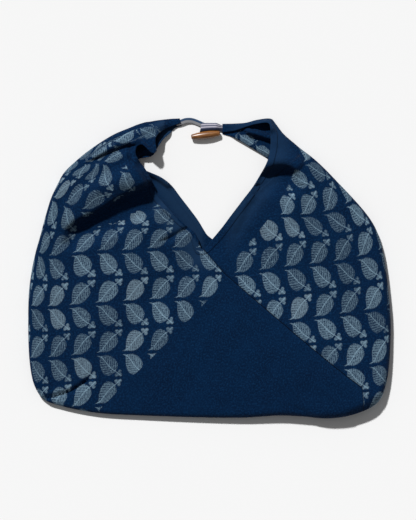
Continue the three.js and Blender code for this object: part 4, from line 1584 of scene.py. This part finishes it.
class HORNBAG_OT_stage(bpy.types.Operator):
    """Sets the floor, the lights and the camera that looks straight down"""

    bl_idname = "hornbag.stage"
    bl_label = "Stage"

    # The photograph's frame, the pixel of the model's origin in it, and the light's direction
    # and width in degrees
    FRAME_PIXELS = (416, 520)
    ORIGIN_PIXEL = (209.5, 267.5)
    SUN_DIRECTION = (0.45, -0.89, -1.0)
    SUN_ANGLE = 4.0
    # Half of the floor's side in millimetres, and how far the camera sees in metres
    FLOOR_HALF = 6000
    CAMERA_REACH = 100

    def execute(self, context):
        look = context.scene.hornbag_stage
        scene = context.scene
        side = self.FLOOR_HALF
        corners = [(-side, -side, 0), (side, -side, 0), (side, side, 0), (-side, side, 0)]
        floor = mesh_piece("floor", corners, [(0, 1, 2, 3)], [floor_material(look.floor)])

        sun = bpy.data.lights.new("sun", "SUN")
        sun.energy = look.sun
        sun.angle = math.radians(self.SUN_ANGLE)
        lamp = placed("sun", sun)
        lamp.rotation_euler = Vector(self.SUN_DIRECTION).to_track_quat("-Z", "Y").to_euler()

        world = bpy.data.worlds.new("studio")
        world.use_nodes = True
        background = world.node_tree.nodes["Background"]
        background.inputs["Color"].default_value = (1, 1, 1, 1)
        background.inputs["Strength"].default_value = look.sky
        scene.world = world

        # An unturned camera looks straight down. The frame's middle is a little off the origin.
        wide, high = self.FRAME_PIXELS
        pixel = look.picture_height / high
        camera = bpy.data.cameras.new("camera")
        camera.lens = look.lens
        camera.clip_end = self.CAMERA_REACH
        half_angle = math.atan(camera.sensor_width / 2 / camera.lens)
        away = look.picture_height / 2 / math.tan(half_angle)
        scene.camera = placed("camera", camera)
        scene.camera.location = (
            (wide / 2 - self.ORIGIN_PIXEL[0]) * pixel, (self.ORIGIN_PIXEL[1] - high / 2) * pixel, away)
        scene.view_settings.view_transform = "Standard"
        return {"FINISHED"}


class HORNBAG_PT_panel(bpy.types.Panel):
    """Lists the bag's operators and settings"""

    bl_label = "Horn Bag"
    bl_idname = "HORNBAG_PT_panel"
    bl_space_type = "VIEW_3D"
    bl_region_type = "UI"
    bl_category = "Horn Bag"

    def draw(self, context):
        for operator in OPERATORS:
            self.layout.operator(operator.bl_idname)
        for group in SETTINGS:
            settings = getattr(context.scene, group)
            box = self.layout.box()
            for name in settings.__annotations__:
                box.prop(settings, name)


OPERATORS = (
    HORNBAG_OT_stage,
    HORNBAG_OT_stitches,
    HORNBAG_OT_cloth,
    HORNBAG_OT_loop,
    HORNBAG_OT_band,
    HORNBAG_OT_toggle,
)
SETTINGS = {"hornbag_cloth": ClothSettings, "hornbag_trim": TrimSettings, "hornbag_stage": StageSettings}


def register():
    for name, kind in SETTINGS.items():
        bpy.utils.register_class(kind)
        setattr(bpy.types.Scene, name, PointerProperty(type=kind))
    for kind in (*OPERATORS, HORNBAG_PT_panel):
        bpy.utils.register_class(kind)


def unregister():
    for kind in (HORNBAG_PT_panel, *reversed(OPERATORS)):
        bpy.utils.unregister_class(kind)
    for name, kind in reversed(SETTINGS.items()):
        delattr(bpy.types.Scene, name)
        bpy.utils.unregister_class(kind)


def main():
    register()
    for operator in OPERATORS:
        group, name = operator.bl_idname.split(".")
        getattr(getattr(bpy.ops, group), name)()


if __name__ == "__main__":
    main()
